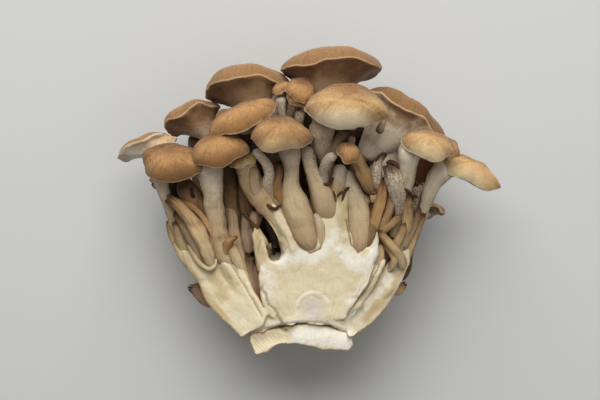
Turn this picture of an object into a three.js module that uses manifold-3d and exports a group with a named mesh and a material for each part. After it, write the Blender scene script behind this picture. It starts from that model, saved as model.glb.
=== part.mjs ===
// A halved maitake cluster, lying on its back with the knife cut facing up (+Z).
// The trimmed heel is at -Y, the caps are at +Y, and the table is the plane z = 0. Units are millimetres.
import * as THREE from "three";
import { mergeVertices } from "three/addons/utils/BufferGeometryUtils.js";
import Module from "manifold-3d";

// Driving dimensions of the half cluster.
const CUT_HEIGHT = 42; // the knife's plane above the table, at the core
const TABLE = 0; // everything below this plane is pressed flat
const GAP = 0.3; // free space between neighbouring pieces
const REACH = 200; // half the side of the boxes that trim at a plane
const STEM_SIDES = 8;
const SHOOT_SIDES = 7;
const STEPS_PER_POINT = 2; // rings of a limb for each stretch between two of its route points
const THINNEST = 0.3; // the least radius of a limb
const CAP_SIDES = 16;
const SMALL_CAP_SIDES = 14;
const TINY_CAP_SIDES = 12;
const RIM_AT = 0.9; // share of the cap's radius where the rim's lip ends and the underside begins
const FUNNEL_CURVE = 1.6; // how fast the underside falls towards the neck
const SWELL = 0.05; // how far a cap's outline departs from an ellipse, as a share of its radius
const BLOCK_LEVELS = 4; // rings of a block from its back to its front
const BLOCK_SHOULDER = 0.75; // share of a block's height where it reaches its full outline
const BOWL_MIDDLE = -4; // the axis of the base's outer side, across
const BOWL_SIDES = 32;

const UP = new THREE.Vector3(0, 0, 1);

const finish = (color, roughness) => new THREE.MeshStandardMaterial({ color, roughness, metalness: 0 });
const CAP_SKIN = finish(0xb28554, 0.7);
const DARK_SKIN = finish(0x8d6744, 0.75);
const STEM_FLESH = finish(0xc4ae8d, 0.8);
const CUT_FLESH = finish(0xdccfae, 0.65);
const SHOOT_FLESH = finish(0xa88862, 0.8);

const wasm = await Module();
wasm.setup();

const cluster = new THREE.Group();
const grown = []; // each piece already in the cluster, as it is and swollen by the gap

// A closed geometry as a solid that can be joined and cut.
function solidOf(geometry) {
  const bare = geometry.index ? geometry.toNonIndexed() : geometry.clone();
  bare.deleteAttribute("normal");
  bare.deleteAttribute("uv");
  const merged = mergeVertices(bare, 1e-3);
  return new wasm.Manifold(
    new wasm.Mesh({
      numProp: 3,
      vertProperties: merged.attributes.position.array,
      triVerts: new Uint32Array(merged.index.array),
    }),
  );
}

// The solid's triangles as a three.js geometry.
function geometryOf(solid) {
  const mesh = solid.getMesh();
  const geometry = new THREE.BufferGeometry();
  geometry.setAttribute("position", new THREE.BufferAttribute(mesh.vertProperties, mesh.numProp));
  geometry.setIndex(new THREE.BufferAttribute(mesh.triVerts, 1));
  geometry.computeVertexNormals();
  return geometry;
}

// The solid with each vertex moved out by the gap, for cutting its neighbours.
function swollen(solid) {
  const geometry = geometryOf(solid);
  const places = geometry.attributes.position;
  const normals = geometry.attributes.normal;
  const place = new THREE.Vector3();
  const normal = new THREE.Vector3();
  for (let i = 0; i < places.count; i++) {
    place.fromBufferAttribute(places, i);
    normal.fromBufferAttribute(normals, i);
    place.addScaledVector(normal, GAP);
    places.setXYZ(i, place.x, place.y, place.z);
  }
  return new wasm.Manifold(
    new wasm.Mesh({
      numProp: 3,
      vertProperties: places.array,
      triVerts: new Uint32Array(geometry.index.array),
    }),
  );
}

// A box that fills the space on one side of a plane, for trimming.
function halfSpace(point, normal) {
  const box = new THREE.BoxGeometry(2 * REACH, 2 * REACH, 2 * REACH);
  box.translate(0, 0, REACH);
  const turn = new THREE.Quaternion().setFromUnitVectors(UP, new THREE.Vector3(...normal).normalize());
  box.applyQuaternion(turn);
  box.translate(...point);
  return solidOf(box);
}

const belowTable = halfSpace([0, 0, TABLE], [0, 0, -1]);

// The solid's bounding box.
function boxOf(solid) {
  const { min, max } = solid.boundingBox();
  return new THREE.Box3(new THREE.Vector3(...min), new THREE.Vector3(...max));
}

// Adds a piece: it is pressed flat by the table, gives way to its neighbours, and keeps its largest part.
function add(name, material, solid) {
  const box = boxOf(solid);
  const neighbours = grown.filter((other) => boxOf(other).intersectsBox(box));
  const trimmed = wasm.Manifold.difference([solid, belowTable, ...neighbours]);
  const [largest, ...scraps] = trimmed.decompose().sort((a, b) => b.volume() - a.volume());
  grown.push(swollen(largest), largest);
  const mesh = new THREE.Mesh(geometryOf(largest), material);
  mesh.name = name;
  cluster.add(mesh);
  for (const spare of [solid, trimmed, ...scraps]) {
    spare.delete();
  }
}

// A limb of round or flattened section with round ends, grown along a smooth route.
// Each stop is [x, y, z, radius]; flat is the section's thickness along its front, as a share of its width.
function limb(stops, { flat = 1, sides = STEM_SIDES } = {}) {
  const route = new THREE.CatmullRomCurve3(stops.map(([x, y, z]) => new THREE.Vector3(x, y, z)));
  const girth = new THREE.CatmullRomCurve3(stops.map((stop) => new THREE.Vector3(stop[3], 0, 0)));
  const geometry = new THREE.CapsuleGeometry(1, 1, 2, sides, STEPS_PER_POINT * (stops.length - 1));
  const places = geometry.attributes.position;
  const side = new THREE.Vector3();
  const front = new THREE.Vector3();
  const place = new THREE.Vector3();
  for (let i = 0; i < places.count; i++) {
    place.fromBufferAttribute(places, i);
    const along = THREE.MathUtils.clamp(place.y + 0.5, 0, 1);
    const past = place.y + 0.5 - along; // how far into a round end, in radii
    const radius = Math.max(girth.getPoint(along).x, THINNEST);
    const tangent = route.getTangent(along);
    side.crossVectors(tangent, UP).normalize();
    front.crossVectors(side, tangent);
    const x = place.x * radius;
    const z = place.z * radius * flat;
    place.copy(route.getPoint(along)).addScaledVector(tangent, past * radius);
    place.addScaledVector(side, x).addScaledVector(front, z);
    places.setXYZ(i, place.x, place.y, place.z);
  }
  return solidOf(geometry);
}

// A block of flesh with the outline given, tapering to its back. Its front is the knife's plane.
function block(outline, { back, front, taper = 0.8, slope = [0, 0] }) {
  const shape = new THREE.Shape(outline.map(([x, y]) => new THREE.Vector2(x, y)));
  const geometry = new THREE.ExtrudeGeometry(shape, { depth: 1, steps: BLOCK_LEVELS, bevelEnabled: false });
  const mean = (pick) => outline.reduce((sum, point) => sum + point[pick], 0) / outline.length;
  const middle = [mean(0), mean(1)];
  const places = geometry.attributes.position;
  for (let i = 0; i < places.count; i++) {
    const rise = places.getZ(i);
    const share = taper + (1 - taper) * Math.sin((Math.min(rise / BLOCK_SHOULDER, 1) * Math.PI) / 2);
    const x = middle[0] + (places.getX(i) - middle[0]) * share;
    const y = middle[1] + (places.getY(i) - middle[1]) * share;
    const top = front + slope[0] * (x - middle[0]) + slope[1] * (y - middle[1]);
    places.setXYZ(i, x, y, back + (top - back) * rise);
  }
  return solidOf(geometry);
}

// A cap: a dome over a lipped rim, with an underside that runs down to a neck of the stem's size.
// at is the middle of the rim, facing is the way the dome points, and along is the way its width lies.
function cap({
  at, facing, along, width, depth, rise, funnel, neck = 0.25, lip = 1.5, wave = 0.6, waves = 5, phase = 0,
  droop = 0, lean = [0, 0], sides = CAP_SIDES,
}) {
  const profile = [new THREE.Vector2(0, -lip - funnel)];
  for (const share of [0, 0.3, 0.62, 1]) {
    const radius = neck + (RIM_AT - neck) * share;
    profile.push(new THREE.Vector2(radius, -lip - funnel * (1 - share) ** FUNNEL_CURVE));
  }
  profile.push(new THREE.Vector2(1, -lip * 0.3));
  for (const turn of [0.2, 0.42, 0.66, 0.85]) {
    const angle = (turn * Math.PI) / 2;
    profile.push(new THREE.Vector2(Math.cos(angle), rise * Math.sin(angle)));
  }
  profile.push(new THREE.Vector2(0, rise));
  const geometry = new THREE.LatheGeometry(profile, sides);
  const places = geometry.attributes.position;
  for (let i = 0; i < places.count; i++) {
    const x = places.getX(i);
    const y = places.getY(i);
    const z = places.getZ(i);
    const radius = Math.hypot(x, z);
    const angle = Math.atan2(z, x);
    const swell = 1 + SWELL * radius * Math.sin(3 * angle + 2 * phase);
    const ripple = wave * radius ** 2 * Math.sin(waves * angle + phase) - droop * radius ** 4;
    const under = Math.min(Math.max(-y / (lip + funnel), 0), 1);
    places.setXYZ(
      i,
      (x * swell * width) / 2 + lean[0] * under,
      y + ripple,
      (z * swell * depth) / 2 + lean[1] * under,
    );
  }
  const axisY = new THREE.Vector3(...facing).normalize();
  const axisX = new THREE.Vector3(...along);
  axisX.addScaledVector(axisY, -axisX.dot(axisY)).normalize();
  const axisZ = new THREE.Vector3().crossVectors(axisX, axisY);
  geometry.applyMatrix4(new THREE.Matrix4().makeBasis(axisX, axisY, axisZ).setPosition(...at));
  return solidOf(geometry);
}

const knife = halfSpace([0, 0, CUT_HEIGHT], [0, 0, 1]);

// The outer side of the whole base: a bowl that widens from the heel, about an axis in the knife's plane.
const bowlProfile = [
  [0, -66], [18, -66], [23.5, -57], [30, -51], [36.5, -44], [43, -33], [47.5, -22], [51, -10],
  [54, 10], [0, 10],
];
const bowlOutline = bowlProfile.map(([radius, y]) => new THREE.Vector2(radius, y));
const bowlShape = new THREE.LatheGeometry(bowlOutline, BOWL_SIDES);
bowlShape.translate(BOWL_MIDDLE, 0, CUT_HEIGHT);
const bowl = solidOf(bowlShape);

// The bulbous stems come first, because the core's sockets are shaped by them.
add("stem_bulb_left", STEM_FLESH, limb([
  [-6, 20, 50, 2.8], [-6, 12, 47, 3], [-4, 4, 43, 5], [-2, -4, 40, 6.6], [0.5, -11.5, 38, 6.4],
]));
add("stem_middle", STEM_FLESH, limb([
  [1, 20, 46, 2.4], [4, 10, 43, 3.4], [7, 3, 40, 4.6], [8.5, -3.5, 38, 4.4],
]));
add("stem_bulb_right", STEM_FLESH, limb([
  [17, 10, 40, 3.8], [18, 3, 39, 5.4], [19.5, -5, 37, 6.6], [20.5, -13, 35.5, 5],
]));

// The core: the central cut block with its arm, prong, spikes and trimmed heel, in one piece.
const heelOutline = [
  [-21, -47], [-22.5, -56], [-21.5, -59], [-20.5, -62], [-18, -61], [-12.5, -58], [-8.5, -57],
  [-3, -57.5], [2, -58.5], [6, -59.5], [11, -60], [17, -60], [18, -58.5], [17, -54], [15, -46],
  [-3, -42],
];
const heel = block(heelOutline, { back: 4, front: 35.5, taper: 0.94, slope: [0, 0.12] }).intersect(bowl);
const coreOutline = [
  [-14.5, -47], [-3, -46.5], [9, -47.5], [15, -47], [18, -43], [21, -38], [24.5, -33], [26.5, -27],
  [26, -21], [22, -17], [16, -12], [12, -7], [6, -7], [5, -14], [0, -18], [-5, -14], [-9, -19],
  [-13, -24], [-16, -24], [-19, -30], [-18, -37], [-17, -42],
];
const core = block(coreOutline, { back: -4, front: CUT_HEIGHT + 2, taper: 0.86 })
  .intersect(bowl)
  .add(limb([
    [-8, -24, 38, 5], [-11.5, -11, 40, 4], [-16.5, -2, 42, 3.2], [-21.5, 5.5, 43, 3], [-25, 12, 44, 3.2],
  ]))
  .add(limb([[-15.5, -27, 38, 4.4], [-18, -19, 40, 3], [-20, -12, 41, 1.6]]))
  .add(limb([[12, -13, 39, 4], [13, -4.5, 41, 2.2], [14.8, 3.5, 42, 1.1]]))
  .add(limb([[23.5, -25, 38, 4], [26.2, -18, 39, 2.6], [28, -11, 40, 0.9]]))
  .subtract(knife)
  .add(heel);
add("core_branch", CUT_FLESH, core);

// The outer branches fall away from the knife's plane towards their outer sides.
const leftOutline = [
  [-26, -54.5], [-30, -51], [-34, -48], [-37.5, -44], [-41, -39], [-43.5, -33], [-46, -27],
  [-49, -22], [-52.5, -17], [-48, -16], [-43, -22], [-38, -25], [-36, -18], [-31, -18], [-28.5, -25],
  [-25, -30], [-22, -36], [-19.5, -41], [-16, -46], [-18, -50], [-22.5, -52.5],
];
const leftBlock = block(leftOutline, { back: -4, front: 38, taper: 0.92, slope: [0.22, -0.06] });
add("left_branch", CUT_FLESH, leftBlock.intersect(bowl));
const rightOutline = [
  [17, -54.5], [21, -53], [25, -50], [29.5, -45.5], [33.5, -40.5], [36.5, -36], [39, -31], [41, -25],
  [41, -20], [36, -22], [31, -27], [28, -31], [25.5, -35], [22, -40], [18.5, -45], [15.5, -49],
];
const rightBlock = block(rightOutline, { back: -4, front: 36, taper: 0.92, slope: [-0.25, 0] });
add("right_branch", CUT_FLESH, rightBlock.intersect(bowl));

// Domed caps that face up, out of the cluster's front.
const frontCaps = {
  cap_centre_right: {
    at: [15.3, 36.3, 56], facing: [0.05, 0.66, 0.75], along: [1, -0.06, 0], width: 33.5, depth: 22,
    rise: 9, funnel: 5, lean: [-6, 0], wave: 0.8, phase: 1.2, droop: 1,
  },
  cap_centre_left: {
    at: [-10.5, 25.2, 55], facing: [0.1, 0.7, 0.7], along: [1, 0.08, 0], width: 24.5, depth: 18,
    rise: 7.5, funnel: 4, lean: [3, 0], phase: 0.5, droop: 0.8,
  },
  cap_left_ridge: {
    at: [-25.2, 31.6, 51], facing: [-0.3, 0.82, 0.48], along: [0.92, 0.4, 0], width: 28.8, depth: 20,
    rise: 7, funnel: 4, phase: 2, droop: 0.8,
  },
  cap_left_middle: {
    at: [-34.5, 19.6, 51], facing: [-0.15, 0.72, 0.68], along: [0.97, 0.24, 0], width: 23.5, depth: 19,
    rise: 7, funnel: 4, lean: [0, 0], phase: 3, droop: 0.8,
  },
  cap_left_front: {
    at: [-53.3, 14.8, 47], facing: [-0.1, 0.58, 0.8], along: [1, -0.05, 0], width: 26.5, depth: 17,
    rise: 7.5, funnel: 4, lean: [3, 0], phase: 4, droop: 1.2,
  },
  cap_right_upper: {
    at: [48, 21, 52], facing: [0.08, 0.74, 0.66], along: [0.95, -0.3, 0], width: 21.5, depth: 14.5,
    rise: 6, funnel: 3.5, lean: [-5, 0], phase: 5, droop: 0.6,
  },
  cap_far_right: {
    at: [65.3, 10.7, 42], facing: [0.34, 0.74, 0.56], along: [0.88, -0.47, 0], width: 26, depth: 14,
    rise: 5.5, funnel: 3, lean: [-7, 0], phase: 0.3, droop: 0.5,
  },
  cap_small_curl: {
    at: [15.8, 18, 55], facing: [0.25, 0.6, 0.76], along: [1, 0.2, 0], width: 9.4, depth: 10, rise: 4,
    funnel: 2, lip: 1, phase: 1, wave: 0.2, sides: TINY_CAP_SIDES,
  },
  cap_small_left: {
    at: [-25.5, 16, 46], facing: [-0.2, 0.6, 0.77], along: [0.97, 0.25, 0], width: 12, depth: 8,
    rise: 3, funnel: 2, lip: 1, wave: 0.5, waves: 6, sides: SMALL_CAP_SIDES,
  },
};
for (const [name, shape] of Object.entries(frontCaps)) {
  add(name, CAP_SKIN, cap(shape));
}

// Funnel caps that turn their domes away and show their undersides.
const funnelCaps = {
  cap_crown_right: {
    at: [10.9, 51.6, 35], facing: [-0.03, 0.97, -0.2], along: [1, -0.08, 0], width: 41, depth: 34,
    rise: 9.5, funnel: 15, neck: 0.2, lean: [-6, 0], wave: 0.7, waves: 4, phase: 2.2,
  },
  cap_crown_left: {
    at: [-24.4, 43.4, 33], facing: [-0.05, 0.94, -0.34], along: [1, 0.02, 0], width: 35.8, depth: 30,
    rise: 11, funnel: 12, neck: 0.2, lean: [4, 0], wave: 0.7, phase: 1.1,
  },
  cap_right_wing: {
    at: [39, 32.4, 32], facing: [0.52, 0.76, -0.4], along: [0.82, -0.57, 0.05], width: 38, depth: 30,
    rise: 6, funnel: 22, neck: 0.22, lean: [-5, 2], wave: 1.1, waves: 6, phase: 0.4,
  },
  cap_left_back: {
    at: [-46.4, 32.2, 28], facing: [-0.4, 0.84, -0.36], along: [0.9, 0.42, 0], width: 24, depth: 22,
    rise: 7, funnel: 9, lean: [3, 0], wave: 0.9, waves: 4, phase: 3.3,
  },
  cap_far_left: {
    at: [-67.4, 21.3, 30], facing: [-0.44, 0.84, -0.32], along: [0.88, 0.47, 0], width: 22.5, depth: 15,
    rise: 3.5, funnel: 5, lean: [5, 0], lip: 1, wave: 0.5, phase: 4.1,
  },
  cap_right_lobe: {
    at: [55, 20, 42], facing: [0.4, 0.75, 0.5], along: [0.85, -0.5, 0], width: 13, depth: 12, rise: 5,
    funnel: 3, sides: SMALL_CAP_SIDES,
  },
  cap_between_crowns: {
    at: [-3, 41, 44], facing: [0.1, 0.35, 0.93], along: [1, 0, 0], width: 10.5, depth: 11, rise: 4.5,
    funnel: 3, sides: SMALL_CAP_SIDES, wave: 0.2,
  },
  cap_left_tuft: {
    at: [-58, 22, 40], facing: [-0.2, 0.9, 0.3], along: [0.95, 0.25, 0], width: 13, depth: 10, rise: 4,
    funnel: 3, lip: 1, wave: 0.8, waves: 4, sides: SMALL_CAP_SIDES,
  },
  cap_low_right: {
    at: [53, -4, 16], facing: [0.5, 0.8, -0.2], along: [0.85, -0.45, 0], width: 10, depth: 9, rise: 2.5,
    funnel: 3, lip: 1, sides: TINY_CAP_SIDES,
  },
};
for (const [name, shape] of Object.entries(funnelCaps)) {
  add(name, DARK_SKIN, cap(shape));
}

// Caps on the side that lies on the table.
const backCaps = [
  { at: [-34, 30, 7.5], facing: [-0.45, 0.75, -0.5], width: 26, depth: 20 },
  { at: [-10, 42, 7], facing: [-0.1, 0.85, -0.5], width: 27, depth: 20 },
  { at: [16, 38, 7.5], facing: [0.15, 0.85, -0.5], width: 26, depth: 20 },
  { at: [38, 24, 7], facing: [0.5, 0.7, -0.5], width: 24, depth: 18 },
];
backCaps.forEach((shape, index) =>
  add(`cap_back_${index + 1}`, DARK_SKIN, cap({
    ...shape, along: [shape.facing[1], -shape.facing[0], 0], rise: 6, funnel: 8, wave: 0.8, phase: index,
    sides: SMALL_CAP_SIDES,
  })),
);

// Stems from the branches to their caps.
const stems = {
  stem_left_wide: [[-39, 15, 47, 4.4], [-38.5, 4, 43, 4], [-38, -6, 39, 3.8], [-34.5, -17, 34, 5]],
  stem_left_outer: [[-57, 7, 40, 2.4], [-58, 0, 37, 2.2], [-55, -8, 33, 2.4], [-50, -17, 28, 3]],
  stem_centre_right: [[5.5, 29, 50, 4.6], [7, 22, 47, 3.6], [8.5, 15, 43, 3], [9, 8, 38, 3]],
  stem_right_upper: [[41, 21, 48, 4.4], [40.5, 12, 44, 3.6], [39.5, 3, 41, 2.6], [38.5, -8, 36, 2.4]],
  stem_far_right: [
    [57, 13, 39, 4], [52, 9, 37, 3.6], [48.5, 2, 34, 2.6], [45, -7, 31, 2], [41.5, -18, 27, 2.4],
  ],
  stem_wing: [[29, 15, 30, 4.6], [27.5, 6, 30, 4.4], [27, -4, 30, 4.6], [26, -16, 28, 5]],
  stem_crown_right: [[5, 36, 34, 3.6], [5, 26, 35, 3.6], [6, 12, 32, 4], [6, -4, 28, 6]],
  stem_crown_left: [[-12, 38, 37, 2.6], [-14, 26, 38, 2.8], [-14, 10, 34, 3.2], [-10, -6, 28, 5]],
  stem_left_deep: [[-31, 14, 40, 2.8], [-30, 2, 36, 3], [-29, -10, 31, 3.4], [-26, -24, 26, 4]],
  stem_ridge: [[-25, 25, 42, 3], [-25, 10, 36, 3], [-24, -4, 31, 3.4], [-21, -20, 26, 4]],
  stem_left_back: [[-42, 24, 24, 3.4], [-41, 8, 23, 3.8], [-38, -8, 21, 4.6], [-32, -24, 18, 6]],
  stem_low_right: [[50, -5.5, 16, 1.8], [46, -6, 17, 2], [42, -12, 18, 2.6], [37, -24, 18, 3.4]],
};
for (const [name, stops] of Object.entries(stems)) {
  add(name, STEM_FLESH, limb(stops));
}

const backStems = [
  [[-30, 22, 12, 4], [-26, 6, 12, 5], [-20, -12, 12, 6.5], [-12, -28, 14, 7]],
  [[-8, 32, 12, 4], [-7, 14, 12, 5.5], [-5, -4, 13, 7], [-3, -22, 14, 8]],
  [[15, 30, 11, 4], [14, 14, 12, 5.5], [12, -4, 13, 7], [9, -22, 14, 8]],
  [[34, 17, 10, 4], [32, 4, 11, 5], [27, -12, 12, 6.5], [20, -28, 14, 7]],
];
backStems.forEach((stops, index) => add(`stem_back_${index + 1}`, STEM_FLESH, limb(stops)));

// Young, cut and torn shoots between the stems, flattened like straps.
const shoots = {
  shoot_left_stub: [[-55.5, 0, 40, 1.6], [-51, -5, 40, 3], [-45, -13, 38.5, 3.6], [-39.5, -22, 36, 3.4]],
  shoot_seam_outer: [[-24.5, -21, 35, 2], [-24, -30, 33, 2.2], [-20.5, -39, 33, 1.8]],
  shoot_seam_inner: [[-21, -25, 34, 1.8], [-21.5, -32, 34, 1.8], [-19.5, -39, 34, 1.6]],
  shoot_arm_curl: [[-13.5, 18, 49, 1.6], [-17, 15, 48, 1.9], [-16, 9, 46, 1.9], [-15.5, 2, 44, 2.4]],
  shoot_arm_lip: [[-8.5, 14, 43, 1.6], [-12, 9, 43, 2.6], [-13, 3, 43, 2.6], [-11, -1, 43, 1.4]],
  shoot_curl_stem: [[12.5, 18, 52, 1.8], [9, 16, 50, 2], [7, 11, 46, 1.9], [7.5, 7, 43, 1.8]],
  shoot_pale_notch: [[13.5, 15, 43, 2.6], [13, 8, 42, 2.6], [13, 2, 38, 2.4]],
  shoot_tan_taper: [[21, 17, 44, 2], [22.5, 9, 44, 3.2], [25, 3, 42, 2.6], [26.5, -2, 40, 1.4]],
  shoot_speckled: [
    [31, 18, 46, 1.4], [28.5, 14, 46, 2.2], [28, 7, 44, 2.2], [30, 0, 42, 2.4], [27, -11, 38, 2],
  ],
  shoot_fuzzy: [[33, 14, 46, 2.8], [35, 6, 45, 3.6], [36, -1, 43, 2.6], [36, -6, 40, 2]],
  shoot_right_tan: [[38.5, 3, 38, 1.6], [40.5, -5, 36, 2.6], [39.5, -14, 33, 2.6], [37, -22, 31, 3]],
  shoot_grey: [[43, 7, 40, 2.6], [45.5, 3, 37, 3], [44.5, -5, 33, 2.6], [41, -14, 28, 2.6]],
  shoot_fork: [[31, -13, 36, 1.6], [34, -17, 36, 2], [37.5, -21, 34, 2.2]],
};
for (const [name, stops] of Object.entries(shoots)) {
  add(name, SHOOT_FLESH, limb(stops, { flat: 0.75, sides: SHOOT_SIDES }));
}

// Torn skin lips on the outer sides.
const flaps = {
  flap_left: [[-47.5, -34, 29, 1], [-44.5, -37, 28.5, 2.8], [-40, -40, 28, 3]],
  flap_right: [[39.8, -33.5, 29, 0.8], [38.2, -35.5, 28.5, 1.8], [35.5, -37.5, 28, 2]],
};
for (const [name, stops] of Object.entries(flaps)) {
  add(name, SHOOT_FLESH, limb(stops, { flat: 0.45, sides: SHOOT_SIDES }));
}

// The frame's origin is on the table, under the middle of the cluster.
const bounds = new THREE.Box3().setFromObject(cluster);
const middle = bounds.getCenter(new THREE.Vector3());
for (const mesh of cluster.children) {
  mesh.geometry.translate(-middle.x, -middle.y, -bounds.min.z);
}

export default cluster;
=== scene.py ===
"""A halved maitake cluster on a pale table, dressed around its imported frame.

The cluster lies on its back with the knife cut facing up (+Z), its trimmed heel at -Y and its caps at +Y.
Lengths in the classes are millimetres. Places are counted from the middle of the cluster's box in X and Y and
from the table in Z, and are turned into the frame's metres where a mesh is made.
"""

import logging
import math
from dataclasses import dataclass
from enum import Enum
from typing import Iterable, Sequence

import bmesh
import bpy
import numpy as np
from mathutils import Matrix, Vector, noise


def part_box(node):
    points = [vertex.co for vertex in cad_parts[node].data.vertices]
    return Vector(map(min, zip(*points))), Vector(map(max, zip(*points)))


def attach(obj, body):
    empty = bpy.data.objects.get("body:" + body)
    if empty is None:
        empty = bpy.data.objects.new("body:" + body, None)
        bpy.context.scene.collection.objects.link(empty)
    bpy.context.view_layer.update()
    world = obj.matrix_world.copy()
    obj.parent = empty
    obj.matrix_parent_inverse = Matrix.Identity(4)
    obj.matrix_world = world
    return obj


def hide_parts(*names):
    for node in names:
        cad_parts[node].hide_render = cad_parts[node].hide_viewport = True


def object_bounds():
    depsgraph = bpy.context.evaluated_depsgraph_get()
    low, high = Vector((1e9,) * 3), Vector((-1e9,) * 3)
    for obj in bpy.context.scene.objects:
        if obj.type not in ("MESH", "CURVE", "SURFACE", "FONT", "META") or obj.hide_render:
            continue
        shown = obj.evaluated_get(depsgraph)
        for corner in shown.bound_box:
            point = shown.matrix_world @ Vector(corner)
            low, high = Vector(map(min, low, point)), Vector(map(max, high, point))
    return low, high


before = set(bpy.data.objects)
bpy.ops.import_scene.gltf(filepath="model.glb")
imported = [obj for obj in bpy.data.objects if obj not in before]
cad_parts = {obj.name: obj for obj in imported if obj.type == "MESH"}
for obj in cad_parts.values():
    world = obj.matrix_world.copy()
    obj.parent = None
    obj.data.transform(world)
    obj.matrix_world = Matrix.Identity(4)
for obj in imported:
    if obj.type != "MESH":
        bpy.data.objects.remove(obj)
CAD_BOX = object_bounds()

log = logging.getLogger("maitake")

MM = 0.001  # one millimetre in the frame's metres
BODY = "root"
LEAST_HEIGHT = 0.05  # how far the lowest flesh stays above the table, in millimetres
CREST = 42.0  # how high the front of the cluster stands in its middle, in millimetres
CREST_SHOULDER = 20.0  # how far from the middle the front starts to fall away
CREST_FALL = 0.0062  # how fast it falls, in millimetres for each squared millimetre

Colour = tuple[float, float, float]
Point = tuple[float, float, float]
Stop = tuple[float, float, float, float]


def paint(red: int, green: int, blue: int) -> Colour:
    """Turns a colour of 0 to 255 screen values into the linear values that shaders use.

    Args:
        red: Red, 0 to 255.
        green: Green, 0 to 255.
        blue: Blue, 0 to 255.

    Returns:
        The linear colour.
    """
    return tuple(((value / 255 + 0.055) / 1.055) ** 2.4 for value in (red, green, blue))


def cluster_middle() -> np.ndarray:
    """Gives the middle of the cluster's box in X and Y, on the table, in millimetres."""
    low, high = (np.array(corner) / MM for corner in CAD_BOX)
    return np.array([(low[0] + high[0]) / 2, (low[1] + high[1]) / 2, low[2]])


def ripple(place: Vector, scale: float, octaves: int = 2) -> float:
    """Gives smooth noise for moving a surface point.

    Args:
        place: Where to read the noise, in millimetres.
        scale: The size of the lumps, in millimetres.
        octaves: How many finer layers are added.

    Returns:
        A value of about -1 to 1.
    """
    value, weight = 0.0, 1.0
    for layer in range(octaves):
        value += weight * noise.noise(place * (2**layer / scale) + Vector((17.3 * layer, 0, 0)))
        weight /= 2
    return value


# ----------------------------------------------------------------------------------------------------
# Finishes


class Shader:
    """A material's node tree, with short calls for the nodes that the finishes share."""

    def __init__(self, name: str) -> None:
        """Starts a material with one principled surface."""
        self.material = bpy.data.materials.new(name)
        self.material.use_nodes = True
        self.tree = self.material.node_tree
        self.surface = self.tree.nodes["Principled BSDF"]

    def node(self, kind: str, inputs: dict | None = None, **settings: object) -> bpy.types.Node:
        """Adds a node.

        Args:
            kind: The node's type name, without its ShaderNode prefix.
            inputs: Socket name or number to a value or to the socket that feeds it.
            settings: The node's own properties.

        Returns:
            The new node.
        """
        made = self.tree.nodes.new(f"ShaderNode{kind}")
        for name, value in settings.items():
            setattr(made, name, value)
        for key, value in (inputs or {}).items():
            self.feed(made.inputs[key], value)
        return made

    def feed(self, socket: bpy.types.NodeSocket, value: object) -> None:
        """Sets a socket, or links another socket to it.

        Args:
            socket: The socket to feed.
            value: A value, a colour, or the socket that gives it.
        """
        if isinstance(value, bpy.types.NodeSocket):
            self.tree.links.new(value, socket)
        elif isinstance(value, tuple) and len(value) == 3 and socket.type == "RGBA":
            socket.default_value = (*value, 1.0)
        else:
            socket.default_value = value

    def places(self) -> bpy.types.NodeSocket:
        """Gives the Object coordinates, in metres."""
        return self.node("TexCoord").outputs["Object"]

    def stored(self, name: str, part: str = "Fac") -> bpy.types.NodeSocket:
        """Reads an attribute that the piece carries."""
        return self.node("Attribute", attribute_name=name).outputs[part]

    def scaled(self, vector: bpy.types.NodeSocket, scale: Point) -> bpy.types.NodeSocket:
        """Stretches a vector."""
        return self.node("Mapping", {"Vector": vector, "Scale": scale}).outputs[0]

    def grain(
        self,
        vector: bpy.types.NodeSocket,
        scale: float,
        detail: float = 3,
        rough: float = 0.5,
        warp: float = 0,
    ) -> bpy.types.NodeSocket:
        """Gives smooth noise of 0 to 1.

        Args:
            vector: Where the noise is read.
            scale: Lumps per unit of the vector.
            detail: How many finer layers are added.
            rough: How strong the finer layers are.
            warp: How far the noise is bent by itself.

        Returns:
            The noise's value.
        """
        inputs = {"Vector": vector, "Scale": scale, "Detail": detail, "Roughness": rough, "Distortion": warp}
        return self.node("TexNoise", inputs).outputs["Fac"]

    def math(self, kind: str, first: object, second: object = 0.0) -> bpy.types.NodeSocket:
        """Works out a Math node of that kind."""
        return self.node("Math", {0: first, 1: second}, operation=kind).outputs[0]

    def times(self, first: object, second: object) -> bpy.types.NodeSocket:
        """Multiplies two values."""
        return self.math("MULTIPLY", first, second)

    def shaken(self, value: object, noise_value: object, amount: float) -> bpy.types.NodeSocket:
        """Adds noise of 0 to 1 to a value, up or down by half the amount."""
        return self.math("ADD", value, self.times(self.math("SUBTRACT", noise_value, 0.5), amount))

    def between(self, value: object, low: float, high: float) -> bpy.types.NodeSocket:
        """Eases from 0 at low to 1 at high."""
        inputs = {"Value": value, "From Min": low, "From Max": high}
        return self.node("MapRange", inputs, interpolation_type="SMOOTHSTEP").outputs[0]

    def blend(self, share: object, first: object, second: object) -> bpy.types.NodeSocket:
        """Mixes two colours."""
        return self.node("Mix", {0: share, 6: first, 7: second}, data_type="RGBA").outputs[2]

    def relief(self, heights: Iterable[tuple[bpy.types.NodeSocket, float]]) -> None:
        """Puts bumps on the surface.

        Args:
            heights: Pairs of a height of 0 to 1 and how far it stands, in metres.
        """
        normal = None
        for height, distance in heights:
            bump = self.node("Bump", {"Height": height, "Distance": distance, "Strength": 1.0})
            if normal is not None:
                self.feed(bump.inputs["Normal"], normal)
            normal = bump.outputs[0]
        self.feed(self.surface.inputs["Normal"], normal)

    def finish(self, colour: object, roughness: object, **constants: object) -> bpy.types.Material:
        """Feeds the surface.

        Args:
            colour: The base colour, or the socket that gives it.
            roughness: The roughness, or the socket that gives it.
            constants: Other values of the surface, with underscores for the spaces in their names.

        Returns:
            The finished material.
        """
        self.feed(self.surface.inputs["Base Color"], colour)
        self.feed(self.surface.inputs["Roughness"], roughness)
        for name, value in constants.items():
            self.surface.inputs[name.replace("_", " ")].default_value = value
        return self.material


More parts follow.
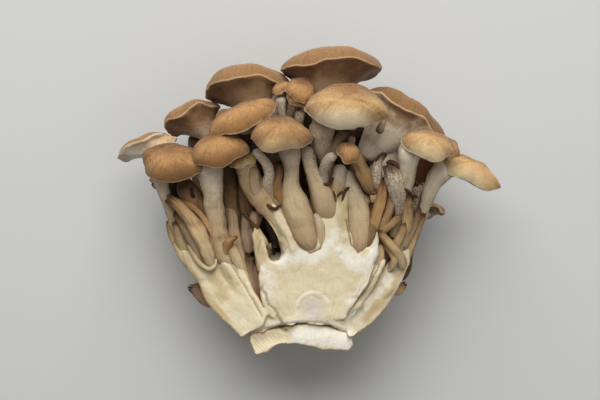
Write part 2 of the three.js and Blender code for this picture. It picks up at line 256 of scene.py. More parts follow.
FLESH_GLOW = {"Subsurface_Weight": 0.1, "Subsurface_Radius": (1.0, 0.55, 0.3), "Subsurface_Scale": 0.0012}


@dataclass(frozen=True)
class CapFinish:
    """Velvety cap skin with short streaks, paler towards its front rim, partly as painted light, and a finely
    ribbed underside.
    """

    name: str
    dark: Colour
    light: Colour
    front: Colour  # the margin that faces the viewer: its paler skin, painted lighter still as painted light where it turns from the lamp
    rim: Colour  # the very edge
    under: Colour
    under_pale: Colour
    front_from: float = 0.45
    front_share: float = 0.7
    grainy: float = 0.12
    neck_fuzz: Colour = paint(216, 206, 194)

    def material(self) -> bpy.types.Material:
        """Builds the material.

        Returns:
            The material.
        """
        shader = Shader(self.name)
        place = shader.places()
        spread = shader.stored("spread", "Vector")
        rays = shader.stored("grain", "Vector")
        out = shader.stored("out")
        front = shader.stored("front")
        streaks = shader.grain(shader.scaled(spread, (1.1, 0.3, 1)), 1, 5, 0.65, 0.4)
        fine = shader.grain(shader.scaled(spread, (4.5, 1.3, 1)), 1, 4, 0.65)
        clouds = shader.grain(place, 150, 3, 0.5)
        specks = shader.grain(place, 1900, 2, 0.7)
        tone = shader.shaken(shader.shaken(front, clouds, 0.9), streaks, 0.9)
        top = shader.blend(shader.between(tone, -0.8, 0.45), self.dark, self.light)
        sides = shader.times(shader.between(shader.shaken(out, streaks, 0.25), 0.62, 1.0), 0.4)
        top = shader.blend(sides, top, self.dark)
        top = shader.blend(shader.times(shader.between(streaks, 0.5, 0.68), 0.42), top, self.dark)
        top = shader.blend(shader.times(shader.between(fine, 0.46, 0.68), 0.3), top, self.rim)
        top = shader.blend(shader.times(shader.between(specks, 0.48, 0.62), self.grainy), top, self.dark)
        fibrils = shader.grain(shader.scaled(rays, (11, 11, 1.1)), 1, 4, 0.6, 0.5)
        top = shader.blend(shader.times(shader.between(fibrils, 0.48, 0.7), 0.4), top, self.dark)
        heart = shader.between(shader.shaken(out, clouds, 0.6), 0.75, 0.05)
        heart = shader.times(heart, shader.times(shader.between(front, 0.1, -0.2), 0.4))
        top = shader.blend(heart, top, self.dark)
        # the front margin: partly its paler skin, partly painted light where the rim turns away from the lamp
        margin = shader.between(shader.shaken(front, clouds, 0.35), self.front_from, 0.98)
        top = shader.blend(shader.times(margin, self.front_share), top, self.front)
        edge = shader.between(shader.shaken(shader.stored("edge"), fine, 0.4), 0.35, 0.85)
        top = shader.blend(shader.times(edge, 0.9), top, self.rim)
        pores = shader.grain(place, 2300, 2, 0.6)
        veins = shader.grain(shader.scaled(rays, (34, 34, 1.4)), 1, 3, 0.55, 0.3)
        pale = shader.math("ADD", shader.times(veins, 0.22), shader.times(clouds, 0.78))
        pale = shader.math("ADD", pale, shader.times(shader.between(out, 0.95, 0.4), 0.16))
        low = shader.blend(shader.between(pale, 0.42, 0.7), self.under, self.under_pale)
        neck = shader.times(shader.between(out, 0.62, 0.2), shader.between(pores, 0.4, 0.58))
        low = shader.blend(shader.times(neck, 0.5), low, self.neck_fuzz)
        colour = shader.blend(shader.stored("skin"), low, top)
        shader.relief([(clouds, 0.0006), (streaks, 0.0004), (fine, 0.0002), (veins, 0.0001), (pores, 0.0001)])
        rough = shader.math("ADD", 0.52, shader.times(specks, 0.2))
        return shader.finish(colour, rough, Sheen_Weight=0.1, Specular_IOR_Level=0.28, **FLESH_GLOW)


@dataclass(frozen=True)
class StrandFinish:
    """Fibrous flesh that changes along its length, with white fuzz or a dried brown end towards the tip, and
    painted shade where it lies deep in the cluster, along its flanks and inside an open end.
    """

    name: str
    base: Colour
    middle: Colour
    tip: Colour
    streak: Colour
    fuzz: float = 0.0  # how much white fuzz covers the tip's part
    fuzz_from: float = 0.5
    dry: float = 0.0  # how brown the very end is
    dry_from: float = 0.86
    shade: Colour = paint(27, 17, 10)  # painted shade for the flesh deep between the stems
    fuzz_bed: Colour = paint(160, 132, 102)  # the skin under the fuzz
    fuzz_hair: Colour = paint(236, 221, 200)
    dried: Colour = paint(74, 44, 22)
    hollow: Colour = paint(58, 38, 26)  # painted shade inside an open end

    def material(self) -> bpy.types.Material:
        """Builds the material.

        Returns:
            The material.
        """
        shader = Shader(self.name)
        place = shader.places()
        along = shader.stored("grain", "Vector")
        height = shader.stored("height")
        fibres = shader.grain(shader.scaled(along, (3.4, 3.4, 0.7)), 1, 4, 0.62, 0.6)
        clouds = shader.grain(place, 210, 4, 0.6, 0.4)
        hairs = shader.grain(place, 1500, 3, 0.75)
        ragged = shader.shaken(height, clouds, 0.45)
        body = shader.blend(shader.between(ragged, 0.05, 0.5), self.base, self.middle)
        body = shader.blend(shader.between(ragged, 0.45, 0.95), body, self.tip)
        body = shader.blend(shader.times(shader.between(fibres, 0.5, 0.74), 0.35), body, self.streak)
        # darker flanks: partly their browner creases, partly painted contact shade
        flank = shader.between(shader.shaken(shader.stored("flank"), clouds, 0.9), 0.5, 1.1)
        body = shader.blend(shader.times(flank, 0.62), body, self.streak)
        if self.fuzz:
            cover = shader.between(ragged, self.fuzz_from - 0.15, self.fuzz_from + 0.2)
            cover = shader.times(cover, self.fuzz)
            body = shader.blend(shader.times(cover, 0.5), body, self.fuzz_bed)
            tufts = shader.times(cover, shader.between(hairs, 0.45, 0.6))
            body = shader.blend(tufts, body, self.fuzz_hair)
        if self.dry:
            end = shader.between(shader.shaken(height, fibres, 0.25), self.dry_from, 0.98)
            body = shader.blend(shader.times(end, self.dry), body, self.dried)
        # painted shade inside open ends
        body = shader.blend(shader.times(shader.stored("inside"), 0.9), body, self.hollow)
        # painted shade: the deeper below the crest, the darker
        sunk = shader.between(shader.stored("depth"), 2.5, 15.0)
        colour = shader.blend(shader.times(sunk, 0.88), body, self.shade)
        shader.relief([(fibres, 0.0005), (clouds, 0.0003), (hairs, 0.0001 + 0.0003 * self.fuzz)])
        return shader.finish(colour, 0.6, Specular_IOR_Level=0.3, Sheen_Weight=0.06, **FLESH_GLOW)


@dataclass(frozen=True)
class CutFinish:
    """Moist cut flesh, cream with the whiter, warmer and browner zones of its piece, painted highlights,
    painted shade in its pit, and tan skin outside.
    """

    name: str = "cut_flesh_cream"
    cream: Colour = paint(238, 224, 190)
    white: Colour = paint(253, 249, 237)
    amber: Colour = paint(212, 188, 142)
    brown: Colour = paint(132, 96, 62)
    grey: Colour = paint(226, 217, 200)
    skin: Colour = paint(222, 198, 156)
    skin_dark: Colour = paint(198, 166, 122)
    # painted shade in the pit
    hole: Colour = paint(34, 20, 12)

    def material(self) -> bpy.types.Material:
        """Builds the material.

        Returns:
            The material.
        """
        shader = Shader(self.name)
        place = shader.places()
        cut = shader.stored("cut")
        wide = shader.grain(shader.scaled(place, (1, 0.6, 1)), 75, 4, 0.55, 0.6)
        mottle = shader.grain(place, 330, 5, 0.66, 0.5)
        fine = shader.grain(place, 1500, 3, 0.6)
        warm = shader.between(shader.shaken(shader.stored("amber"), wide, 0.9), 0.2, 0.9)
        flesh = shader.blend(warm, self.cream, self.amber)
        streaks = shader.grain(shader.scaled(shader.stored("fan", "Vector"), (22, 0.06, 0.1)), 1, 5, 0.6, 1.2)
        flesh = shader.blend(shader.times(shader.between(streaks, 0.48, 0.74), 0.4), flesh, self.amber)
        # whiter flesh, with the painted highlights on the heel and left branch
        white = shader.between(shader.shaken(shader.stored("white"), mottle, 1.5), 0.12, 0.9)
        flesh = shader.blend(shader.times(white, 0.8), flesh, self.white)
        grey = shader.between(shader.shaken(shader.stored("grey"), mottle, 0.5), 0.3, 0.9)
        flesh = shader.blend(grey, flesh, self.grey)
        fibres = shader.grain(shader.scaled(place, (260, 70, 170)), 1, 4, 0.55, 0.5)
        bark = shader.blend(shader.between(fibres, 0.36, 0.7), self.skin, self.skin_dark)
        colour = shader.blend(shader.between(shader.shaken(cut, mottle, 0.25), 0.2, 0.7), bark, flesh)
        lines = shader.between(shader.shaken(shader.stored("brown"), fine, 0.5), 0.15, 0.8)
        colour = shader.blend(shader.times(lines, 0.9), colour, self.brown)
        # painted shade in the sunk pit
        colour = shader.blend(shader.between(shader.stored("dark"), 0.3, 0.8), colour, self.hole)
        shader.relief([(wide, 0.0004), (mottle, 0.0003), (fine, 0.0001), (streaks, 0.0003), (fibres, 0.0002)])
        rough = shader.math("SUBTRACT", 0.62, shader.times(cut, 0.16))
        return shader.finish(colour, rough, Specular_IOR_Level=0.34, **FLESH_GLOW)


@dataclass(frozen=True)
class TableFinish:
    """Smooth pale board."""

    name: str = "pale_board"
    colour: Colour = (0.69, 0.70, 0.695)

    def material(self) -> bpy.types.Material:
        """Builds the material.

        Returns:
            The material.
        """
        shader = Shader(self.name)
        fleck = shader.grain(shader.places(), 900, 2, 0.5)
        shader.relief([(fleck, 0.00003)])
        return shader.finish(self.colour, 0.85, Specular_IOR_Level=0.1)


class CapTone(Enum):
    """How weathered a cap's skin has grown, with its front margin painted lighter as painted light."""

    GOLDEN = CapFinish(
        "cap_golden", paint(104, 64, 32), paint(204, 156, 100), paint(248, 214, 162), paint(246, 226, 188),
        paint(130, 98, 66), paint(180, 154, 122), 0.5, 0.7, 0.18,
    )
    BROWN = CapFinish(
        "cap_brown", paint(108, 66, 32), paint(204, 154, 96), paint(172, 124, 74), paint(238, 210, 166),
        paint(130, 98, 66), paint(180, 154, 122), 0.3, 0.8, 0.2,
    )
    PALE = CapFinish(
        "cap_pale", paint(136, 86, 42), paint(222, 180, 120), paint(254, 238, 202), paint(252, 240, 212),
        paint(150, 122, 90), paint(200, 182, 154), 0.35, 0.85, 0.14,
    )
    HONEY = CapFinish(
        "cap_honey", paint(144, 94, 48), paint(222, 180, 120), paint(242, 216, 170), paint(252, 240, 214),
        paint(150, 122, 90), paint(200, 182, 154), 0.35, 0.85, 0.14,
    )
    CROWN = CapFinish(
        "cap_crown", paint(124, 86, 48), paint(182, 138, 90), paint(168, 124, 78), paint(208, 174, 130),
        paint(128, 92, 60), paint(164, 128, 92), 0.9, 0.3, 0.45,
    )
    WING = CapFinish(
        "cap_wing", paint(112, 74, 38), paint(164, 120, 72), paint(176, 136, 90), paint(210, 180, 136),
        paint(150, 116, 80), paint(220, 202, 174), 0.9, 0.3, 0.3,
    )
    CURL = CapFinish(
        "cap_curl", paint(176, 134, 86), paint(216, 180, 132), paint(240, 216, 176), paint(254, 246, 228),
        paint(180, 150, 112), paint(224, 200, 160), 0.5, 0.6, 0.1,
    )
    # the underside is painted lighter as painted light, since it faces down and away from the lamps
    ASH = CapFinish(
        "cap_ash", paint(122, 86, 50), paint(180, 140, 94), paint(176, 138, 94), paint(214, 186, 144),
        paint(232, 208, 176), paint(250, 240, 222), 0.9, 0.3, 0.3,
    )


class StrandTone(Enum):
    """How a stem or shoot has grown, aged or dried; some tones are painted shade or painted light for strands
    that lie in shadow.
    """

    # the tip is paler fuzz, painted lighter still as painted light where it lies in the cap's shadow
    FUZZY = StrandFinish(
        "strand_fuzzy", paint(212, 186, 142), paint(208, 180, 138), paint(244, 228, 202),
        paint(146, 112, 74), 0.6, 0.58,
    )
    WHITE = StrandFinish(
        "strand_white", paint(206, 186, 154), paint(216, 200, 174), paint(222, 208, 186),
        paint(140, 112, 82), 0.8, 0.15,
    )
    SPECK = StrandFinish(
        "strand_speck", paint(176, 142, 100), paint(168, 140, 108), paint(150, 120, 90), paint(96, 66, 42),
        0.6, 0.25,
    )
    # the tip is pale, painted lighter still as painted light where it lies in the cap's shadow
    PALE = StrandFinish(
        "strand_pale", paint(208, 182, 138), paint(226, 208, 174), paint(244, 232, 208),
        paint(168, 138, 100), 0.15, 0.7,
    )
    ARM = StrandFinish(
        "strand_arm", paint(240, 224, 190), paint(206, 178, 134), paint(158, 128, 92), paint(140, 104, 66),
        0.3, 0.8,
    )
    BULB = StrandFinish(
        "strand_bulb", paint(204, 174, 136), paint(214, 192, 152), paint(214, 194, 164),
        paint(164, 130, 90), 0.6, 0.68,
    )
    MUTED = StrandFinish(
        "strand_muted", paint(176, 146, 106), paint(190, 164, 126), paint(196, 174, 142),
        paint(122, 90, 58), 0.5, 0.6,
    )
    # painted shade: a darker tone for strands that lie in shadow deep in the cluster
    DEEP = StrandFinish(
        "strand_deep", paint(158, 128, 88), paint(144, 112, 74), paint(90, 62, 38), paint(84, 56, 32),
    )
    # painted shade: darker fuzzy stems that lie deep under the crowns
    DEEPFUZZ = StrandFinish(
        "strand_deep_fuzz", paint(120, 94, 62), paint(134, 108, 78), paint(170, 148, 120),
        paint(100, 74, 48), 0.5, 0.6,
    )
    TAN = StrandFinish(
        "strand_tan", paint(224, 200, 158), paint(214, 184, 138), paint(176, 138, 92), paint(122, 82, 46),
        dry=0.95,
    )
    GOLD = StrandFinish(
        "strand_gold", paint(210, 176, 124), paint(198, 156, 104), paint(158, 114, 68), paint(112, 72, 38),
        dry=0.9,
    )
    FOLD = StrandFinish(
        "strand_fold", paint(176, 136, 88), paint(146, 110, 72), paint(104, 74, 46), paint(88, 58, 32),
        dry=0.8,
    )
    TANGREY = StrandFinish(
        "strand_tan_grey", paint(196, 162, 116), paint(174, 138, 94), paint(150, 116, 78),
        paint(104, 72, 42), dry=0.5,
    )
    GREYTAN = StrandFinish(
        "strand_grey_tan", paint(206, 178, 138), paint(182, 156, 120), paint(140, 112, 80),
        paint(96, 66, 42), dry=0.7,
    )
    CREAM = StrandFinish(
        "strand_cream", paint(236, 218, 180), paint(228, 206, 164), paint(210, 180, 134),
        paint(176, 140, 96), dry=0.6,
        dry_from=0.92,
    )
    MAUVE = StrandFinish(
        "strand_mauve", paint(182, 154, 126), paint(170, 142, 116), paint(146, 116, 92), paint(104, 76, 56),
        dry=0.7,
    )
    BROWN = StrandFinish(
        "strand_brown", paint(128, 86, 48), paint(96, 60, 32), paint(64, 38, 20), paint(54, 30, 14),
        dry=0.6,
    )
    RUST = StrandFinish(
        "strand_rust", paint(132, 88, 46), paint(110, 68, 32), paint(84, 50, 22), paint(66, 38, 16),
        dry=0.5,
    )
    FROST = StrandFinish(
        "strand_frost", paint(176, 150, 118), paint(200, 180, 154), paint(180, 154, 124),
        paint(120, 88, 58), 0.95, 0.1,
        dry=0.9, dry_from=0.76,
    )
    # painted shade: near-black stems that fill the gaps deep in the cluster
    PAINTED_SHADE = StrandFinish(
        "strand_painted_shade", paint(84, 60, 38), paint(66, 46, 28), paint(52, 34, 20), paint(40, 26, 14),
    )
    # painted shade in a crease: near-black throughout
    DARK = StrandFinish(
        "strand_dark", paint(52, 34, 22), paint(52, 34, 22), paint(52, 34, 22), paint(30, 20, 14),
    )


# ----------------------------------------------------------------------------------------------------
# Meshes


def finished(
    name: str, mesh: bpy.types.Mesh, material: bpy.types.Material, slot: str, nodes: Sequence[str] = ()
) -> bpy.types.Object:
    """Puts a mesh into the scene as a finished piece of the cluster.

    Args:
        name: The piece's name.
        mesh: Its mesh, in the frame's place.
        material: Its finish.
        slot: The material slot that it is logged under.
        nodes: The CAD nodes that it stands for.

    Returns:
        The piece.
    """
    mesh.materials.clear()
    mesh.materials.append(material)
    mesh.shade_smooth()
    piece = bpy.data.objects.new(name, mesh)
    bpy.context.scene.collection.objects.link(piece)
    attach(piece, BODY)
    if nodes:
        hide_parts(*nodes)
    log.info("%s: %d faces, slot %s", name, len(mesh.polygons), slot)
    return piece


def store(mesh: bpy.types.Mesh, name: str, values: np.ndarray) -> None:
    """Keeps one number or one vector for each vertex of a mesh.

    Args:
        mesh: The mesh.
        name: The attribute's name.
        values: As many rows as the mesh has vertices.
    """
    flat = np.ascontiguousarray(values, dtype=np.float32)
    if values.ndim == 1:
        mesh.attributes.new(name, "FLOAT", "POINT").data.foreach_set("value", flat)
    else:
        mesh.attributes.new(name, "FLOAT_VECTOR", "POINT").data.foreach_set("vector", flat.ravel())


def points_of(mesh: bpy.types.Mesh) -> np.ndarray:
    """Reads a mesh's vertices.

    Args:
        mesh: The mesh.

    Returns:
        One row of X, Y and Z for each vertex, in the mesh's own units.
    """
    flat = np.empty(len(mesh.vertices) * 3, dtype=np.float32)
    mesh.vertices.foreach_get("co", flat)
    return flat.reshape(-1, 3).astype(np.float64)


def normals_of(mesh: bpy.types.Mesh) -> np.ndarray:
    """Reads a mesh's vertex normals.

    Args:
        mesh: The mesh.

    Returns:
        One row of X, Y and Z for each vertex.
    """
    flat = np.empty(len(mesh.vertices) * 3, dtype=np.float32)
    mesh.vertex_normals.foreach_get("vector", flat)
    return flat.reshape(-1, 3).astype(np.float64)


def move_points(mesh: bpy.types.Mesh, points: np.ndarray) -> None:
    """Puts a mesh's vertices at new places, given in millimetres."""
    mesh.vertices.foreach_set("co", np.ascontiguousarray(points * MM, dtype=np.float32).ravel())
    mesh.update()


def spun(name: str, section: Sequence[tuple[float, float]], turns: int) -> bpy.types.Mesh:
    """Spins a section about the Z axis into a closed body.

    Args:
        name: The mesh's name.
        section: Pairs of a distance from the axis and a height, from one end on the axis to the other.
        turns: How many steps go round.

    Returns:
        The mesh.
    """
    bare = bmesh.new()
    verts = [bare.verts.new((radius, 0, height)) for radius, height in section]
    edges = [bare.edges.new(pair) for pair in zip(verts, verts[1:])]
    geometry = [*verts, *edges]
    middle, upright = (0, 0, 0), (0, 0, 1)
    bmesh.ops.spin(
        bare, geom=geometry, cent=middle, axis=upright, angle=math.tau, steps=turns, use_merge=True
    )
    bmesh.ops.remove_doubles(bare, verts=bare.verts, dist=1e-5)
    bmesh.ops.recalc_face_normals(bare, faces=bare.faces)
    mesh = bpy.data.meshes.new(name)
    bare.to_mesh(mesh)
    bare.free()
    return mesh


@dataclass
class Strand:
    """A stem, shoot or torn lip that follows stops from its base to its tip.

    A stop is a place in X, Y and Z and the half-width there, in millimetres.
    """

    node: str
    tone: StrandTone
    stops: tuple[Stop, ...]
    flat: float = 0.8  # thickness as a share of the width
    hollow: float = 0.0  # how deep its open end goes
    torn: float = 0.0  # how ragged its open end is
    ridge: float = 0.1  # the height of its lengthwise ridges, as a share of the width
    lump: float = 0.13  # the height of its swellings, as a share of the width
    spacing: float = 0.55  # millimetres between its rings

    def course(self) -> np.ndarray:
        """Runs a smooth curve through the stops.

        Returns:
            One row for each step: X, Y, Z, the half-width and the distance from the base.
        """
        stops = np.array(self.stops, dtype=float)
        stops[:, :3] += cluster_middle()
        padded = np.vstack([2 * stops[0] - stops[1], stops, 2 * stops[-1] - stops[-2]])
        runs = []
        for index in range(len(stops) - 1):
            a, b, c, d = padded[index : index + 4]
            t = np.linspace(0, 1, 24, endpoint=False)[:, None]
            bend, twist = 2 * a - 5 * b + 4 * c - d, 3 * b - a - 3 * c + d
            runs.append(0.5 * (2 * b + (c - a) * t + bend * t**2 + twist * t**3))
        run = np.vstack([*runs, stops[-1:]])
        steps = np.linalg.norm(np.diff(run[:, :3], axis=0), axis=1)
        return np.column_stack([run, np.concatenate([[0], np.cumsum(steps)])])

    def section(self, course: np.ndarray) -> list[tuple[float, float]]:
        """Works out the section that is spun, and turned back into the open end of a hollow strand.

        Args:
            course: The strand's course.

        Returns:
            Pairs of a share of the half-width and a distance from the base.
        """
        length = course[-1, 4]
        rings = max(10, min(110, round(length / self.spacing)))
        start, end = course[0, 3], course[-1, 3]
        section = [(0.0, 0.0)]
        for step in range(1, rings):
            at = length * step / rings
            head = math.sqrt(max(0.0, 1 - max(0.0, 1 - at / start) ** 2))
            tail = 1.0 if self.hollow else math.sqrt(max(0.0, 1 - max(0.0, 1 - (length - at) / end) ** 2))
            section.append((head * tail, at))
        if self.hollow:
            section += [(0.98, length), (0.86, length + 0.12), (0.74, length - 0.1)]
            for step in range(1, 6):
                radius = 0.74 * math.sqrt(1 - (step / 6) ** 2)
                section.append((radius, length - 0.1 - self.hollow * step / 5.5))
            section.append((0.0, length - 0.1 - self.hollow * 1.08))
        else:
            section.append((0.0, length))
        return section

    def body(self) -> tuple[bpy.types.Mesh, np.ndarray, np.ndarray, np.ndarray]:
        """Spins the strand and bends it along its course.

        Returns:
            The mesh, and for its vertices the grain, the share of the length, and whether they are inside.
        """
        course = self.course()
        length = course[-1, 4]
        section = self.section(course)
        widest = course[:, 3].max()
        mesh = spun(self.node, section, 20 if widest < 1.3 else 28 if widest < 3 else 40)
        lathe = points_of(mesh)
        share = np.hypot(lathe[:, 0], lathe[:, 1])
        angle = np.arctan2(lathe[:, 1], lathe[:, 0])
        at = lathe[:, 2].copy()
        seed = Vector((sum(ord(letter) for letter in self.node) * 1.37, len(self.node) * 2.9, 0))
        cos, sin = np.cos(angle), np.sin(angle)
        spots = list(zip(cos, sin, at))
        ridges = np.array([ripple(Vector((c * 1.9, s * 1.9, d / 9)) + seed, 1.0) for c, s, d in spots])
        lumps = np.array([ripple(Vector((c * 0.7, s * 0.7, d / 4.5)) + seed, 1.0) for c, s, d in spots])
        if self.torn:
            rag = np.array([ripple(Vector((c * 1.7, s * 1.7, 0)) + seed, 1.0, 3) for c, s in zip(cos, sin)])
            at += self.torn * 1.6 * rag * np.clip((at - length + 4 * self.torn) / (4 * self.torn), 0, 1)
        along = np.clip(at, 0, length)
        middle = np.column_stack([np.interp(along, course[:, 4], course[:, k]) for k in range(3)])
        width = np.interp(along, course[:, 4], course[:, 3])
        ahead = np.column_stack([np.interp(along + 0.4, course[:, 4], course[:, k]) for k in range(3)])
        behind = np.column_stack([np.interp(along - 0.4, course[:, 4], course[:, k]) for k in range(3)])
        tangent = ahead - behind
        tangent /= np.linalg.norm(tangent, axis=1)[:, None]
        side = np.cross(tangent, np.array((0.0, 0.0, 1.0)))
        side /= np.linalg.norm(side, axis=1)[:, None]
        face = np.cross(side, tangent)
        shrunk = 2.2 if self.tone.value.dry else 1  # dried flesh shrivels into deeper ridges
        reach = share * width * (1 + self.ridge * shrunk * ridges + self.lump * lumps)
        points = middle + side * (reach * cos)[:, None] + face * (reach * sin * self.flat)[:, None]
        points += tangent * (at - along)[:, None]
        points[:, 2] = np.maximum(points[:, 2], LEAST_HEIGHT)
        inside = np.zeros(len(lathe))
        if self.hollow:
            deep = lathe[:, 2] > length - self.hollow * 1.1 - 0.3
            inside = np.clip((0.86 - share) / 0.1, 0, 1) * deep
        move_points(mesh, points)
        return mesh, np.column_stack([cos, sin, at / 10]), np.clip(at / length, 0, 1), inside

    def build(self, material: bpy.types.Material, slot: str, nodes: Sequence[str] = ()) -> bpy.types.Object:
        """Builds and dresses the strand.

        Args:
            material: Its tone's material.
            slot: The material slot that it is logged under.
            nodes: The CAD nodes that it stands for.

        Returns:
            The piece.
        """
        mesh, grain, height, inside = self.body()
        local = points_of(mesh) / MM - cluster_middle()
        crest = CREST - CREST_FALL * np.clip(np.abs(local[:, 0]) - CREST_SHOULDER, 0, None) ** 2
        store(mesh, "grain", grain)
        store(mesh, "height", height)
        store(mesh, "inside", inside)
        # how far round to the side each point lies, for the darker flanks and their painted shade
        store(mesh, "flank", np.abs(grain[:, 0]))
        # the depth below the crest drives the painted shade
        store(mesh, "depth", np.clip(crest - local[:, 2], 0, None) * (normals_of(mesh)[:, 2] > -0.5))
        return finished(f"{self.node}_flesh", mesh, material, slot, nodes)


@dataclass(frozen=True)
class Mark:
    """A line or patch on the cut face: its colour zone, its reach and how far it stands or sinks."""

    zone: str
    places: tuple[tuple[float, float], ...]
    reach: float  # how wide it is
    strength: float = 1.0
    stand: float = 0.0  # how far it stands out, or sinks where it is negative
    stray: float = 0.8  # how far the line wanders

    def share(self, points: np.ndarray, wander: np.ndarray) -> np.ndarray:
        """Gives how strongly the mark holds at each point.

        Args:
            points: The points, in millimetres from the cluster's middle.
            wander: Two columns of smooth noise that bend the mark.

        Returns:
            One value of 0 to 1 for each point.
        """
        flat = points[:, :2] + wander * self.stray
        nearest = np.full(len(points), 1e9)
        places = [np.array(place) for place in self.places]
        if len(places) == 1:
            nearest = np.linalg.norm(flat - places[0], axis=1)
        for first, last in zip(places, places[1:]):
            leg = last - first
            run = np.clip((flat - first) @ leg / (leg @ leg), 0, 1)
            nearest = np.minimum(nearest, np.linalg.norm(flat - first - run[:, None] * leg, axis=1))
        return np.exp(-((nearest / self.reach) ** 2))


@dataclass
class CutBase:
    """The core with its heel and the two outer branches, grown together into one body of cut flesh."""

    nodes: tuple[str, ...] = ("core_branch", "left_branch", "right_branch")
    slot: str = "cut_flesh"
    voxel: float = 0.5
    smoothing: int = 5
    swell: float = 0.32  # how far the blocks are grown before they are joined
    dimple: float = 0.3  # the height of the soft lumps
    wrinkle: float = 1.1  # the height of the creases down the sides
    lobes: tuple[Strand, ...] = ()
    marks: tuple[Mark, ...] = ()
    heel_line: tuple[tuple[float, float], ...] = ()  # the lip above the heel, from left to right
    heel_height: float = 39.6  # where the heel meets the lip
    heel_slope: float = 0.14  # how fast the heel rises away from the lip
    marks_from: float = 18.0  # the height above which the marks fade in
    marks_over: float = 8.0  # and over how many millimetres
    fan_centre: tuple[float, float] = (2.0, -78.0)  # the fibres fan out from here

    def grown(self) -> bpy.types.Mesh:
        """Joins the blocks and lobes into one fine, evenly meshed body.

        Returns:
            The body's mesh, before its surface is worked.
        """
        bare = bmesh.new()
        for node in self.nodes:
            part = bmesh.new()
            part.from_mesh(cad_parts[node].data)
            bmesh.ops.remove_doubles(part, verts=part.verts, dist=1e-6)
            part.normal_update()
            for vert in part.verts:
                vert.co += vert.normal * self.swell * MM
            copy = bpy.data.meshes.new(f"{node}_copy")
            part.to_mesh(copy)
            part.free()
            bare.from_mesh(copy)
            bpy.data.meshes.remove(copy)
        for lobe in self.lobes:
            mesh = lobe.body()[0]
            bare.from_mesh(mesh)
            bpy.data.meshes.remove(mesh)
        coarse = bpy.data.meshes.new("cut_base_coarse")
        bare.to_mesh(coarse)
        bare.free()
        work = bpy.data.objects.new("cut_base_work", coarse)
        bpy.context.scene.collection.objects.link(work)
        voxels = work.modifiers.new("voxels", "REMESH")
        voxels.mode = "VOXEL"
        voxels.voxel_size = self.voxel * MM
        softer = work.modifiers.new("softer", "SMOOTH")
        softer.factor = 0.5
        softer.iterations = self.smoothing
        result = bpy.data.meshes.new_from_object(work.evaluated_get(bpy.context.evaluated_depsgraph_get()))
        bpy.data.objects.remove(work)
        bpy.data.meshes.remove(coarse)
        return result

    def build(self) -> bpy.types.Object:
        """Builds and dresses the body.

        Returns:
            The piece.
        """
        mesh = self.grown()
        points = points_of(mesh) / MM
        normals = normals_of(mesh)
        facing = np.clip(normals[:, 2], 0, 1)
        local = points - cluster_middle()
        line = np.array(self.heel_line)
        below = np.interp(local[:, 0], line[:, 0], line[:, 1]) - local[:, 1]
        inside = (local[:, 0] > line[0, 0]) & (local[:, 0] < line[-1, 0] + 1.5)
        heel = inside & (below > 1) & (facing > 0.8) & (local[:, 2] > 20)
        slope, start = np.polyfit(below[heel], local[heel, 2], 1)
        lift = self.heel_height - start + (self.heel_slope - slope) * below
        points[:, 2] += lift * np.clip(below / 1.0, 0, 1) * inside * np.clip(local[:, 2] / 30, 0, 1) ** 1.5
        apart = Vector((40, 0, 0))
        spots = [Vector(place) for place in local]
        wander = np.array([(ripple(spot, 4.0), ripple(spot + apart, 4.0)) for spot in spots])
        move = np.zeros(len(points))
        for index, place in enumerate(local):
            bark = ripple(Vector((place[0], place[1] * 0.22, place[2] * 0.8)), 5.5)
            even = ripple(Vector(place), 7.0, 3)
            move[index] = self.dimple * even + (1 - facing[index]) * self.wrinkle * bark
        zones = {name: np.zeros(len(points)) for name in ("white", "amber", "brown", "grey", "dark")}
        for mark in self.marks:
            high = np.clip((local[:, 2] - self.marks_from) / self.marks_over, 0, 1)
            share = mark.share(local, wander) * high
            zones[mark.zone] = np.maximum(zones[mark.zone], share * mark.strength)
            move += share * mark.stand * facing
        points += normals * move[:, None]
        points[:, 2] = np.maximum(points[:, 2], LEAST_HEIGHT)
        move_points(mesh, points)
        for name, values in zones.items():
            store(mesh, name, values)
        store(mesh, "cut", facing)
        away = local[:, :2] - np.array(self.fan_centre)
        heading = np.arctan2(away[:, 0], away[:, 1])
        store(mesh, "fan", np.column_stack([heading, np.hypot(*away.T), local[:, 2]]))
        return finished("cut_base", mesh, CutFinish().material(), self.slot, self.nodes)


